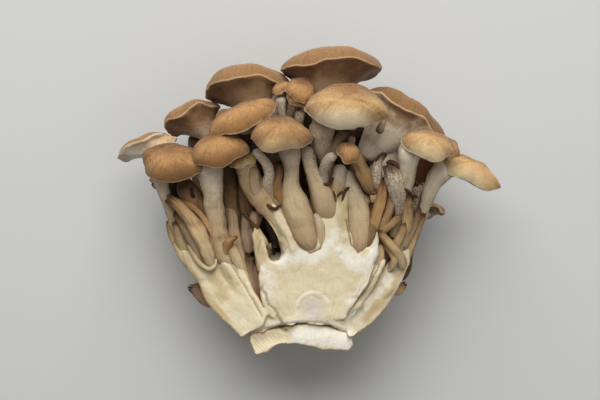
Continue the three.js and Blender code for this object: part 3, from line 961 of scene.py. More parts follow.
@dataclass
class Cap:
    """A cap: a dome over a thin rim, with an underside that falls to the neck like a trumpet.

    Angles go round the rim as seen by the viewer, in degrees: 0 at its right end, 90 at its back, 180 at its
    left end and -90 at its front. A bulge is (angle, spread, share of the radius), and a lift is (angle,
    spread, millimetres). A fold is a crease across the dome: (angle, offset, depth) with its offset from the
    middle as a share of the radius.
    """

    node: str
    tone: CapTone
    facing: Point
    along: Point
    width: float
    depth: float  # across the width
    rise: float  # the height of the dome above the rim
    funnel: float  # how far the underside falls to the neck
    neck: float = 0.25  # the neck's share of the radius
    lip: float = 1.5  # the thickness of the rim
    wave: float = 0.6  # the height of the rim's waves
    waves: int = 5
    phase: float = 0.0  # turns the waves and picks the cap's own noise
    droop: float = 0.0  # how far the rim hangs
    lean: tuple[float, float] = (0.0, 0.0)  # how far the neck is off the middle
    bulges: tuple[Point, ...] = ()
    lifts: tuple[Point, ...] = ()
    folds: tuple[Point, ...] = ()
    scallop: float = 0.6  # how ragged the rim is
    turns: int = 96
    at: Point | None = None  # the middle of a cap that stands for no node

    def section(self) -> list[tuple[float, float]]:
        """Works out the section from the top of the dome, round the rim and down to the neck.

        Returns:
            Pairs of a share of the radius and a height in millimetres.
        """
        section = []
        for step in range(19):
            radius = math.sin(math.pi / 2 * step / 18.5)
            section.append((radius, self.rise * (1 - radius**2.3) ** 0.6))
        section += [(1.0, -0.1), (0.992, -0.45), (0.965, -0.6)]
        base = -0.4 * self.lip - 0.4
        for step in range(13):
            share = step / 12
            section.append((0.93 + (self.neck - 0.93) * share, base - self.funnel * share**1.7))
        base -= self.funnel
        section += [(self.neck * 0.92, base - 1.0), (self.neck * 0.6, base - 2.0), (0.0, base - 2.3)]
        return section

    def change(self, angle: float, features: Iterable[Point]) -> float:
        """Adds up bulges or lifts.

        Args:
            angle: Where on the rim, in radians.
            features: The bulges or lifts.

        Returns:
            Their sum at that angle.
        """
        total = 0.0
        for centre, spread, amount in features:
            away = (math.degrees(angle) - centre + 180) % 360 - 180
            total += amount * math.exp(-((away / spread) ** 2))
        return total

    def shaped(self, point: np.ndarray) -> tuple[float, float, float]:
        """Moves a spun point to its place on the grown cap, before it is turned to its facing.

        Args:
            point: A share of the radius across and along, and a height in millimetres.

        Returns:
            The point's X, Y and Z, in millimetres.
        """
        x, y, z = point
        radius, angle = math.hypot(x, y), math.atan2(y, x)
        round_rim = Vector((math.cos(angle), math.sin(angle), self.phase))
        swell = 1 + 0.05 * radius * math.sin(-3 * angle + 2 * self.phase)
        swell += radius**2 * self.change(angle, self.bulges)
        swell += self.scallop / self.width * 2 * radius**8 * ripple(round_rim * 3.2, 1.0, 3)
        wavy = self.wave * radius**2 * math.sin(-self.waves * angle + self.phase) - self.droop * radius**4
        wavy += radius**3 * self.change(angle, self.lifts)
        wavy += self.scallop * radius**5 * ripple(round_rim * 2.6 + Vector((5, 0, 0)), 1.0)
        wavy += 0.5 * ripple(Vector((x * self.width / 2, y * self.depth / 2, self.phase)), 7.0)
        for turned, offset, amount in self.folds:
            heading = math.radians(turned)
            off = x * math.cos(heading) + y * math.sin(heading) - offset
            wavy -= amount * math.exp(-((off / 0.07) ** 2)) * (1 - radius**4)
        under = min(max(-z / (self.lip + self.funnel), 0.0), 1.0)
        return (
            x * swell * self.width / 2 + self.lean[0] * under,
            y * swell * self.depth / 2 - self.lean[1] * under,
            z + wavy,
        )

    def build(self, material: bpy.types.Material, slot: str) -> bpy.types.Object:
        """Builds the cap in its node's box and dresses it.

        Args:
            material: Its tone's material.
            slot: The material slot that it is logged under.

        Returns:
            The piece.
        """
        mesh = spun(self.node, self.section(), self.turns)
        lathe = points_of(mesh)
        radius = np.hypot(lathe[:, 0], lathe[:, 1])
        angle = np.arctan2(lathe[:, 1], lathe[:, 0])
        up = Vector(self.facing).normalized()
        across = Vector(self.along)
        across = (across - up * across.dot(up)).normalized()
        turn = np.array(Matrix((across, up.cross(across), up)))
        points = np.array([self.shaped(point) for point in lathe]) @ turn
        own_low, own_high = points.min(axis=0), points.max(axis=0)
        if self.at:
            points += np.array(self.at) + cluster_middle() - (own_low + own_high) / 2
        else:
            low, high = (np.array(corner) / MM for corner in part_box(self.node))
            stretch = np.clip((high - low) / (own_high - own_low), 0.85, 1.1)
            points = (points - (own_low + own_high) / 2) * stretch + (low + high) / 2
        points[:, 2] = np.maximum(points[:, 2], LEAST_HEIGHT)
        move_points(mesh, points)
        aside = np.array([self.phase * 31, self.phase * 17, 0])  # so that no two caps share a pattern
        flat = lathe * np.array([self.width / 2, self.depth / 2, 1]) + aside
        store(mesh, "spread", flat)
        store(mesh, "grain", np.column_stack([np.cos(angle), np.sin(angle), radius]))
        store(mesh, "out", radius)
        store(mesh, "front", -np.sin(angle) * radius)
        store(mesh, "edge", np.clip(1 - np.abs(lathe[:, 2] + 0.1) / 1.0, 0, 1) * (radius > 0.9))
        store(mesh, "skin", np.clip((lathe[:, 2] + 0.5) / 0.45, 0, 1))
        piece = finished(f"{self.node}_skin", mesh, material, slot, [] if self.at else [self.node])
        finer = piece.modifiers.new("finer", "SUBSURF")
        finer.levels = finer.render_levels = 1
        return piece


# ----------------------------------------------------------------------------------------------------
# Sub-assemblies


FRONT_CAPS = (
    Cap(
        "cap_centre_right", CapTone.PALE, (0.05, 0.56, 0.83), (1, -0.06, 0), 33.5, 20, 8, 5, lean=(-6, 0),
        wave=0.3, phase=1.2, droop=0.6, bulges=((-14, 13, 0.15), (24, 16, -0.08), (70, 28, 0.1),
        (140, 24, -0.2), (-168, 14, 0.07), (-90, 30, -0.04), (-42, 18, -0.06)), folds=((100, 0.55, 1.4),
        (84, -0.2, 0.4)),
    ),
    Cap(
        "cap_centre_left", CapTone.GOLDEN, (0.1, 0.6, 0.8), (1, 0.08, 0), 24.5, 16.5, 7, 4, lean=(3, 0),
        phase=0.5, droop=0.5, bulges=((-112, 14, 0.1), (-72, 12, -0.07), (-15, 20, 0.06), (-150, 14, -0.07),
        (150, 24, -0.05)), folds=((95, 0.5, 0.5),),
    ),
    Cap(
        "cap_left_ridge", CapTone.BROWN, (-0.34, 0.78, 0.52), (0.88, 0.5, 0), 29.5, 15.5, 6, 4, phase=2,
        droop=0.6, wave=0.4, bulges=((-50, 30, -0.06), (130, 30, -0.06), (10, 22, 0.06), (-120, 14, 0.05)),
    ),
    Cap(
        "cap_left_middle", CapTone.BROWN, (-0.15, 0.66, 0.73), (0.97, 0.24, 0), 23.5, 19, 7, 4, phase=3,
        droop=0.8, bulges=((-8, 14, 0.1), (-50, 20, -0.08), (-100, 16, 0.05), (150, 20, -0.06)),
        folds=((80, 0.45, 0.5),),
    ),
    Cap(
        "cap_left_front", CapTone.BROWN, (-0.1, 0.52, 0.84), (1, -0.05, 0), 26.5, 16, 6.5, 4, lean=(3, 0),
        phase=4, droop=1, bulges=((-75, 12, -0.06), (-110, 20, 0.05), (150, 18, 0.08), (20, 20, -0.05)),
        lifts=((150, 28, 2.2),), folds=((130, 0.5, 0.6),),
    ),
    Cap(
        "cap_right_upper", CapTone.HONEY, (0.08, 0.74, 0.66), (0.95, -0.3, 0), 21.5, 14.5, 6, 3.5, lean=(-5,
        0), phase=5, droop=0.6, bulges=((-35, 9, -0.12), (-18, 12, 0.08), (-62, 12, 0.05),
        (-120, 26, -0.07), (160, 16, 0.05)),
    ),
    Cap(
        "cap_far_right", CapTone.HONEY, (0.34, 0.74, 0.56), (0.88, -0.47, 0), 26, 14, 5.5, 3, lean=(-7, 0),
        phase=0.3, droop=0.5, bulges=((-5, 16, 0.08), (-48, 13, 0.1), (-78, 10, -0.08), (150, 20, -0.07),
        (60, 20, -0.05)),
    ),
    Cap(
        "cap_small_curl", CapTone.BROWN, (0.25, 0.6, 0.76), (1, 0.2, 0), 9.4, 10, 4, 2, lip=1, phase=1,
        wave=0.2, bulges=((-150, 24, -0.16),),
    ),
    Cap(
        "cap_small_left", CapTone.GOLDEN, (-0.2, 0.6, 0.77), (0.97, 0.25, 0), 12, 8, 3, 2, lip=1, wave=0.5,
        waves=6, bulges=((-60, 10, -0.1), (-20, 12, -0.08)),
    ),
)

FUNNEL_CAPS = (
    Cap(
        "cap_crown_right", CapTone.CROWN, (-0.03, 0.97, -0.2), (1, -0.08, 0), 41, 34, 9.5, 15, 0.2,
        lean=(-6, 0), wave=0.7, waves=4, phase=2.2, scallop=1.1,
    ),
    Cap(
        "cap_crown_left", CapTone.CROWN, (-0.05, 0.94, -0.34), (1, 0.02, 0), 35.8, 30, 11, 12, 0.2, lean=(4,
        0), wave=0.7, phase=1.1, scallop=1,
    ),
    Cap(
        "cap_right_wing", CapTone.WING, (0.5, 0.8, -0.28), (0.82, -0.57, 0.05), 38, 30, 9, 20, 0.22,
        lean=(-5, 2), wave=1.1, waves=6, phase=0.4, scallop=1.0,
    ),
    Cap(
        "cap_left_back", CapTone.CROWN, (-0.4, 0.84, -0.36), (0.9, 0.42, 0), 24, 22, 7, 9, lean=(3, 0),
        wave=0.9, waves=4, phase=3.3, scallop=0.9,
    ),
    Cap(
        "cap_far_left", CapTone.ASH, (-0.44, 0.84, -0.32), (0.88, 0.47, 0), 22.5, 15, 3.5, 5, lean=(5, 0),
        lip=1, wave=0.5, phase=4.1,
    ),
    Cap("cap_right_lobe", CapTone.GOLDEN, (0.4, 0.75, 0.5), (0.85, -0.5, 0), 13, 12, 5, 3),
    Cap("cap_between_crowns", CapTone.BROWN, (0.15, 0.58, 0.8), (1, -0.1, 0), 10.5, 10, 3.2, 3, wave=0.2),
    Cap(
        "cap_left_tuft", CapTone.CURL, (-0.3, 0.85, 0.4), (0.95, 0.25, 0), 13, 9, 2.5, 3, lip=1, wave=1.1,
        waves=4, scallop=1,
    ),
    Cap("cap_low_right", CapTone.GOLDEN, (0.5, 0.8, -0.2), (0.85, -0.45, 0), 10, 9, 2.5, 3, lip=1),
)

EXTRA_CAPS = (
    Cap(
        "nook_cap", CapTone.BROWN, (-0.3, 0.8, 0.5), (1, 0.3, 0), 8, 7, 2.2, 2, lip=1, wave=0.2, phase=0.7,
        at=(-10, 44, 44),
    ),
    Cap(
        "crown_gap_cap", CapTone.BROWN, (0.2, 0.6, 0.76), (1, -0.3, 0), 12, 13, 3.2, 3, wave=0.2, phase=2.6,
        at=(-2.9, 43.5, 45),
    ),
)

BACK_CAPS = tuple(
    Cap(
        f"cap_back_{index + 1}", CapTone.CROWN, facing, (facing[1], -facing[0], 0), width, depth, 6, 8,
        wave=1.3, waves=6, phase=index, scallop=1.3,
    )
    for index, (facing, width, depth) in enumerate((
        ((-0.45, 0.75, -0.5), 26, 20),
        ((-0.1, 0.85, -0.5), 27, 20),
        ((0.15, 0.85, -0.5), 26, 20),
        ((0.5, 0.7, -0.5), 24, 18),
    ))
)

STEMS = (
    Strand(
        "stem_left_wide", StrandTone.FUZZY,
        (
            (-27.1, -32, 34, 2.2), (-31.4, -24.7, 36, 4), (-34.6, -17, 38, 4.2), (-36.4, -8.6, 40.5, 3.9),
            (-37.3, -1, 42.5, 3.9), (-37.8, 6.6, 45, 4.4), (-38.9, 13.7, 47, 5.2), (-39.2, 18, 48, 5.6),
        ),
    ),
    Strand(
        "stem_left_outer", StrandTone.FUZZY,
        (
            (-47.8, -25.1, 26, 2.6), (-51.2, -16.8, 30, 2.5), (-53.7, -8.6, 34.5, 2.3),
            (-55.6, -2.2, 38, 2.2), (-57.4, 3.4, 41, 2.4), (-58.6, 9, 43, 3), (-58.5, 12.2, 44, 3.4),
        ),
    ),
    Strand(
        "stem_centre_right", StrandTone.MUTED,
        (
            (10, 4.3, 36, 2.6), (8.7, 11.4, 40, 2.9), (7.5, 17, 43.5, 3.2), (6.2, 22.4, 47, 4),
            (5.8, 27.8, 50, 5.4), (5.8, 31.7, 51.5, 6.2),
        ),
    ),
    Strand(
        "stem_right_upper", StrandTone.PALE,
        (
            (35.9, -8.6, 34, 2), (38.1, -2.2, 37.5, 2.1), (39.1, 3.4, 41, 2.3), (39.5, 9, 44, 3),
            (39.9, 15.3, 47, 4), (40.5, 20, 49, 5), (41.3, 22.7, 50, 5.6),
        ),
    ),
    Strand(
        "stem_far_right", StrandTone.PALE,
        (
            (39.3, -25.2, 24, 2.4), (42.4, -16.9, 27.5, 2.2), (45, -9.9, 31, 2), (47.1, -3.4, 34.5, 2.1),
            (48.9, 2.7, 38, 2.7), (51, 8.2, 41, 3.8), (54.1, 12.2, 43, 4.7), (57.2, 14.2, 44, 5),
        ),
        flat=0.7,
    ),
    Strand(
        "stem_wing", StrandTone.FUZZY,
        (
            (27.4, -21, 26, 5), (28, -11.1, 30, 4.8), (28.3, -1.8, 32, 4.8), (29.1, 7.5, 33, 5),
            (30.7, 16.4, 33.5, 6.4), (33.1, 22.1, 33, 8.4),
        ),
    ),
    Strand(
        "stem_low_right", StrandTone.FUZZY,
        ((39.3, -26.2, 17, 3.4), (43.4, -13, 18, 2.6), (48.4, -6.4, 17, 2), (52.7, -5.1, 16, 1.9)),
    ),
    Strand(
        "stem_bulb_left", StrandTone.BULB,
        (
            (2.3, -19.9, 41.2, 1.6), (0.7, -16.5, 41.6, 3.9), (-1.7, -11.3, 41.6, 5.2),
            (-3.7, -5.3, 42.4, 5.7), (-5.3, 0.2, 43, 5.3), (-6.4, 5.8, 44, 3.6), (-6.2, 11.4, 45.5, 2.9),
            (-6.4, 16.1, 48, 3.7), (-7.2, 20.7, 50, 4.8), (-7.6, 23.1, 51, 5.2),
        ),
        flat=0.85, ridge=0.05, lump=0.05,
    ),
    Strand(
        "stem_middle", StrandTone.BULB,
        (
            (8.4, -8.6, 37, 3), (7.9, -4.6, 39.5, 4.5), (6.7, 0.2, 41, 4.9), (4.3, 5.8, 42.5, 3.9),
            (2.1, 11.4, 44, 2.9), (0.3, 16.9, 45.5, 2.6), (-0.5, 21.6, 46.5, 3),
        ),
        flat=0.85, ridge=0.05, lump=0.06,
    ),
    Strand(
        "stem_bulb_right", StrandTone.BULB,
        (
            (20.7, -21.8, 40.2, 1.4), (21.1, -17.3, 40.3, 3.6), (21.1, -11.8, 40, 4.7),
            (20.7, -5.4, 40.2, 4.8), (19.1, 1, 41, 4.1), (17.1, 6.6, 41.5, 3.2), (15.5, 12.2, 41, 2.8),
        ),
        flat=0.85, ridge=0.05, lump=0.05,
    ),
    Strand(
        "stem_crown_right", StrandTone.DEEPFUZZ,
        (
            (6.1, -4.7, 27, 6), (6.1, 5.1, 30, 5), (5.6, 14.4, 33, 4.4), (4.8, 24.4, 34.5, 4),
            (4.4, 33.3, 35, 4.2), (4.8, 38.9, 35, 5.6), (5.2, 43.8, 34.5, 8),
        ),
    ),
    Strand(
        "stem_crown_left", StrandTone.DEEPFUZZ,
        (
            (-8.6, -6.3, 27, 5), (-11, 1.9, 31, 4.2), (-13, 12.3, 34.5, 3.6), (-13.3, 22.4, 36.5, 3.2),
            (-12.1, 32.4, 37.5, 3.2), (-11.3, 39.6, 37, 3.8), (-11.3, 43.7, 36.5, 4.4),
        ),
    ),
    Strand(
        "stem_left_deep", StrandTone.DEEP,
        (
            (-24.9, -27.5, 27, 4), (-28, -17.6, 30, 3.8), (-30, -8.7, 32.5, 3.4), (-30.7, 0.2, 35, 3.1),
            (-31, 8.3, 37, 2.9), (-31.3, 15.5, 39, 2.9),
        ),
    ),
    Strand(
        "stem_ridge", StrandTone.DEEP,
        (
            (-20.8, -23.4, 27, 4), (-23.2, -12.7, 30, 3.7), (-24.7, -3.8, 31.5, 3.3), (-25.5, 5.1, 34, 3),
            (-25.8, 14.3, 36, 2.9), (-25.3, 24.2, 40, 3.2), (-24.8, 29, 42, 3.4),
        ),
    ),
    Strand(
        "stem_left_back", StrandTone.DEEP,
        (
            (-32.6, -25.3, 19, 6), (-38.7, -12.1, 20.5, 5), (-41.5, -1.8, 22, 4.4), (-43.1, 8.4, 23, 3.9),
            (-43.9, 18.3, 23.5, 3.8), (-45.1, 28.1, 24, 4.6),
        ),
    ),
)

BACK_STEMS = (
    Strand(
        "stem_back_1", StrandTone.DEEP,
        (
            (-12, -29.7, 14, 7), (-18.7, -18.9, 12.5, 6.8), (-24.5, -6.4, 12, 5.8), (-28.7, 4.4, 12, 4.6),
            (-31.2, 16.9, 12, 4.2), (-32.5, 24.4, 12, 4.8),
        ),
    ),
    Strand(
        "stem_back_2", StrandTone.DEEP,
        (
            (-2.9, -23.9, 14, 8), (-4.5, -14.3, 13.5, 7.6), (-5.8, -1.8, 13, 6.6), (-7, 12.7, 12, 5.2),
            (-7.9, 25.3, 12, 4.4), (-8.7, 34.4, 12, 5),
        ),
    ),
    Strand(
        "stem_back_3", StrandTone.DEEP,
        (
            (9.6, -23.9, 14, 8), (11.3, -14.3, 13.5, 7.6), (12.9, -3.1, 13, 6.6), (14.2, 10.7, 12, 5.2),
            (15.5, 25.3, 11, 4.4), (15.9, 32.8, 11, 5),
        ),
    ),
    Strand(
        "stem_back_4", StrandTone.DEEP,
        (
            (20.4, -29.7, 14, 7), (25.5, -18.9, 12.5, 6.8), (29.6, -8.9, 12, 5.8), (32.2, 2.3, 11, 4.9),
            (34.3, 12.8, 10.5, 4.2), (35.2, 19.1, 10, 4.8),
        ),
    ),
)

SHOOTS = (
    Strand(
        "shoot_left_stub", StrandTone.TAN,
        (
            (-37.8, -27.1, 37, 1.4), (-39.3, -22.6, 39, 2.9), (-42, -15.7, 41, 3.3), (-45.9, -8.5, 42, 3),
            (-50.3, -2.9, 43, 2.5), (-53.8, -0.2, 43, 2.1), (-55.5, 0.8, 42.5, 1.9),
        ),
        hollow=2.2, torn=0.8,
    ),
    Strand(
        "shoot_seam_outer", StrandTone.MAUVE,
        (
            (-18.2, -41.8, 33, 1.2), (-20.6, -36.8, 35, 1.6), (-22.6, -31.1, 36, 1.9),
            (-23.4, -26.3, 37, 2), (-23.3, -22.6, 38, 1.9),
        ),
        hollow=1.8, torn=0.5,
    ),
    Strand(
        "shoot_seam_inner", StrandTone.MAUVE,
        (
            (-17.4, -42.6, 33, 1), (-18.6, -37.7, 34.5, 1.5), (-19.8, -32, 35.5, 1.7),
            (-20.6, -27.9, 36, 1.6), (-21, -25.1, 36.5, 1.2),
        ),
        torn=0.6,
    ),
    Strand(
        "shoot_arm_curl", StrandTone.WHITE,
        (
            (-14.8, 2.6, 43, 2.2), (-15.6, 6.6, 45.5, 2.3), (-15.1, 10.9, 47.5, 2.1),
            (-16.3, 14.9, 48.5, 1.9), (-19.4, 18.4, 49, 1.7), (-21.4, 20, 49, 1.5),
        ),
    ),
    Strand(
        "shoot_arm_lip", StrandTone.FOLD,
        (
            (-8.5, -2.2, 41, 1.2), (-10.8, 0.6, 43.5, 2.2), (-12.4, 5.4, 44, 2.6), (-11.6, 11.4, 44, 2.3),
            (-10, 15.4, 44, 1.6),
        ),
        torn=1,
    ),
    Strand(
        "shoot_curl_stem", StrandTone.WHITE,
        (
            (7.1, 6.6, 43, 1.6), (6.5, 10.6, 45, 1.8), (7, 13.7, 48, 2), (8.5, 16.4, 50.5, 2),
            (11.3, 17.9, 52, 1.8),
        ),
    ),
    Strand(
        "shoot_pale_notch", StrandTone.FUZZY,
        ((10.4, -1.8, 38, 2.2), (11.5, 3.4, 41, 2.9), (12.7, 9, 43, 2.9), (13.4, 14.6, 43.5, 2.6)),
    ),
    Strand(
        "shoot_tan_taper", StrandTone.TANGREY,
        (
            (17.8, 20.1, 44, 2.4), (20.1, 15.3, 45.5, 2.9), (22.1, 10.6, 45.8, 3), (24.1, 6.2, 45, 2.6),
            (25.8, 2.6, 44, 1.3),
        ),
        torn=1.2,
    ),
    Strand(
        "shoot_speckled", StrandTone.FROST,
        (
            (28.2, 3.4, 43, 1.5), (27.5, 7.4, 45, 1.9), (27.6, 11.7, 46.4, 2), (28.4, 15.3, 47.6, 1.6),
            (30.3, 18, 48.5, 1.1),
        ),
        torn=1.2, hollow=1.4,
    ),
    Strand(
        "shoot_fuzzy", StrandTone.FROST,
        (
            (36.3, -6.2, 40, 1.4), (36.4, -1.4, 42, 2.6), (35.7, 3.8, 44.6, 3.4), (34, 9.7, 46.5, 3.4),
            (32.3, 14.1, 47.5, 2.7),
        ),
        torn=0.8, hollow=1.6,
    ),
    Strand(
        "shoot_right_tan", StrandTone.TAN,
        (
            (36.4, -21.6, 32, 1.9), (38.6, -15.1, 35, 2.1), (39.9, -8.6, 38, 2.4), (39.7, -2.2, 40.5, 2.4),
            (38.8, 3, 42.5, 2),
        ),
        torn=1.5, hollow=1.5,
    ),
    Strand(
        "shoot_grey", StrandTone.SPECK,
        ((39, -14.4, 29, 2.2), (41.2, -5.8, 33, 2.4), (42.6, 1, 36.5, 2.7), (43.6, 6.6, 39.5, 3)),
        torn=1, hollow=1.5,
    ),
    Strand(
        "shoot_fork", StrandTone.TAN,
        (
            (39, -27.2, 35, 1.8), (36.9, -22.2, 38, 2.1), (33.5, -17.7, 40.5, 2), (30.3, -14.1, 41.5, 1.5),
            (28.6, -11.7, 42, 1),
        ),
        torn=0.9,
    ),
    Strand(
        "flap_left", StrandTone.MAUVE,
        (
            (-37.9, -42.9, 28, 2.2), (-41.1, -39.6, 28.5, 3.2), (-44.3, -36.4, 29, 3),
            (-47.6, -35.3, 29.3, 1.2),
        ),
        flat=0.3, hollow=3, torn=1.2,
    ),
    Strand(
        "flap_right", StrandTone.TAN,
        ((34.6, -37.6, 28, 1.6), (37.4, -36, 28.5, 2.2), (39.8, -33.9, 29, 1)),
        flat=0.35, hollow=2, torn=0.8,
    ),
)

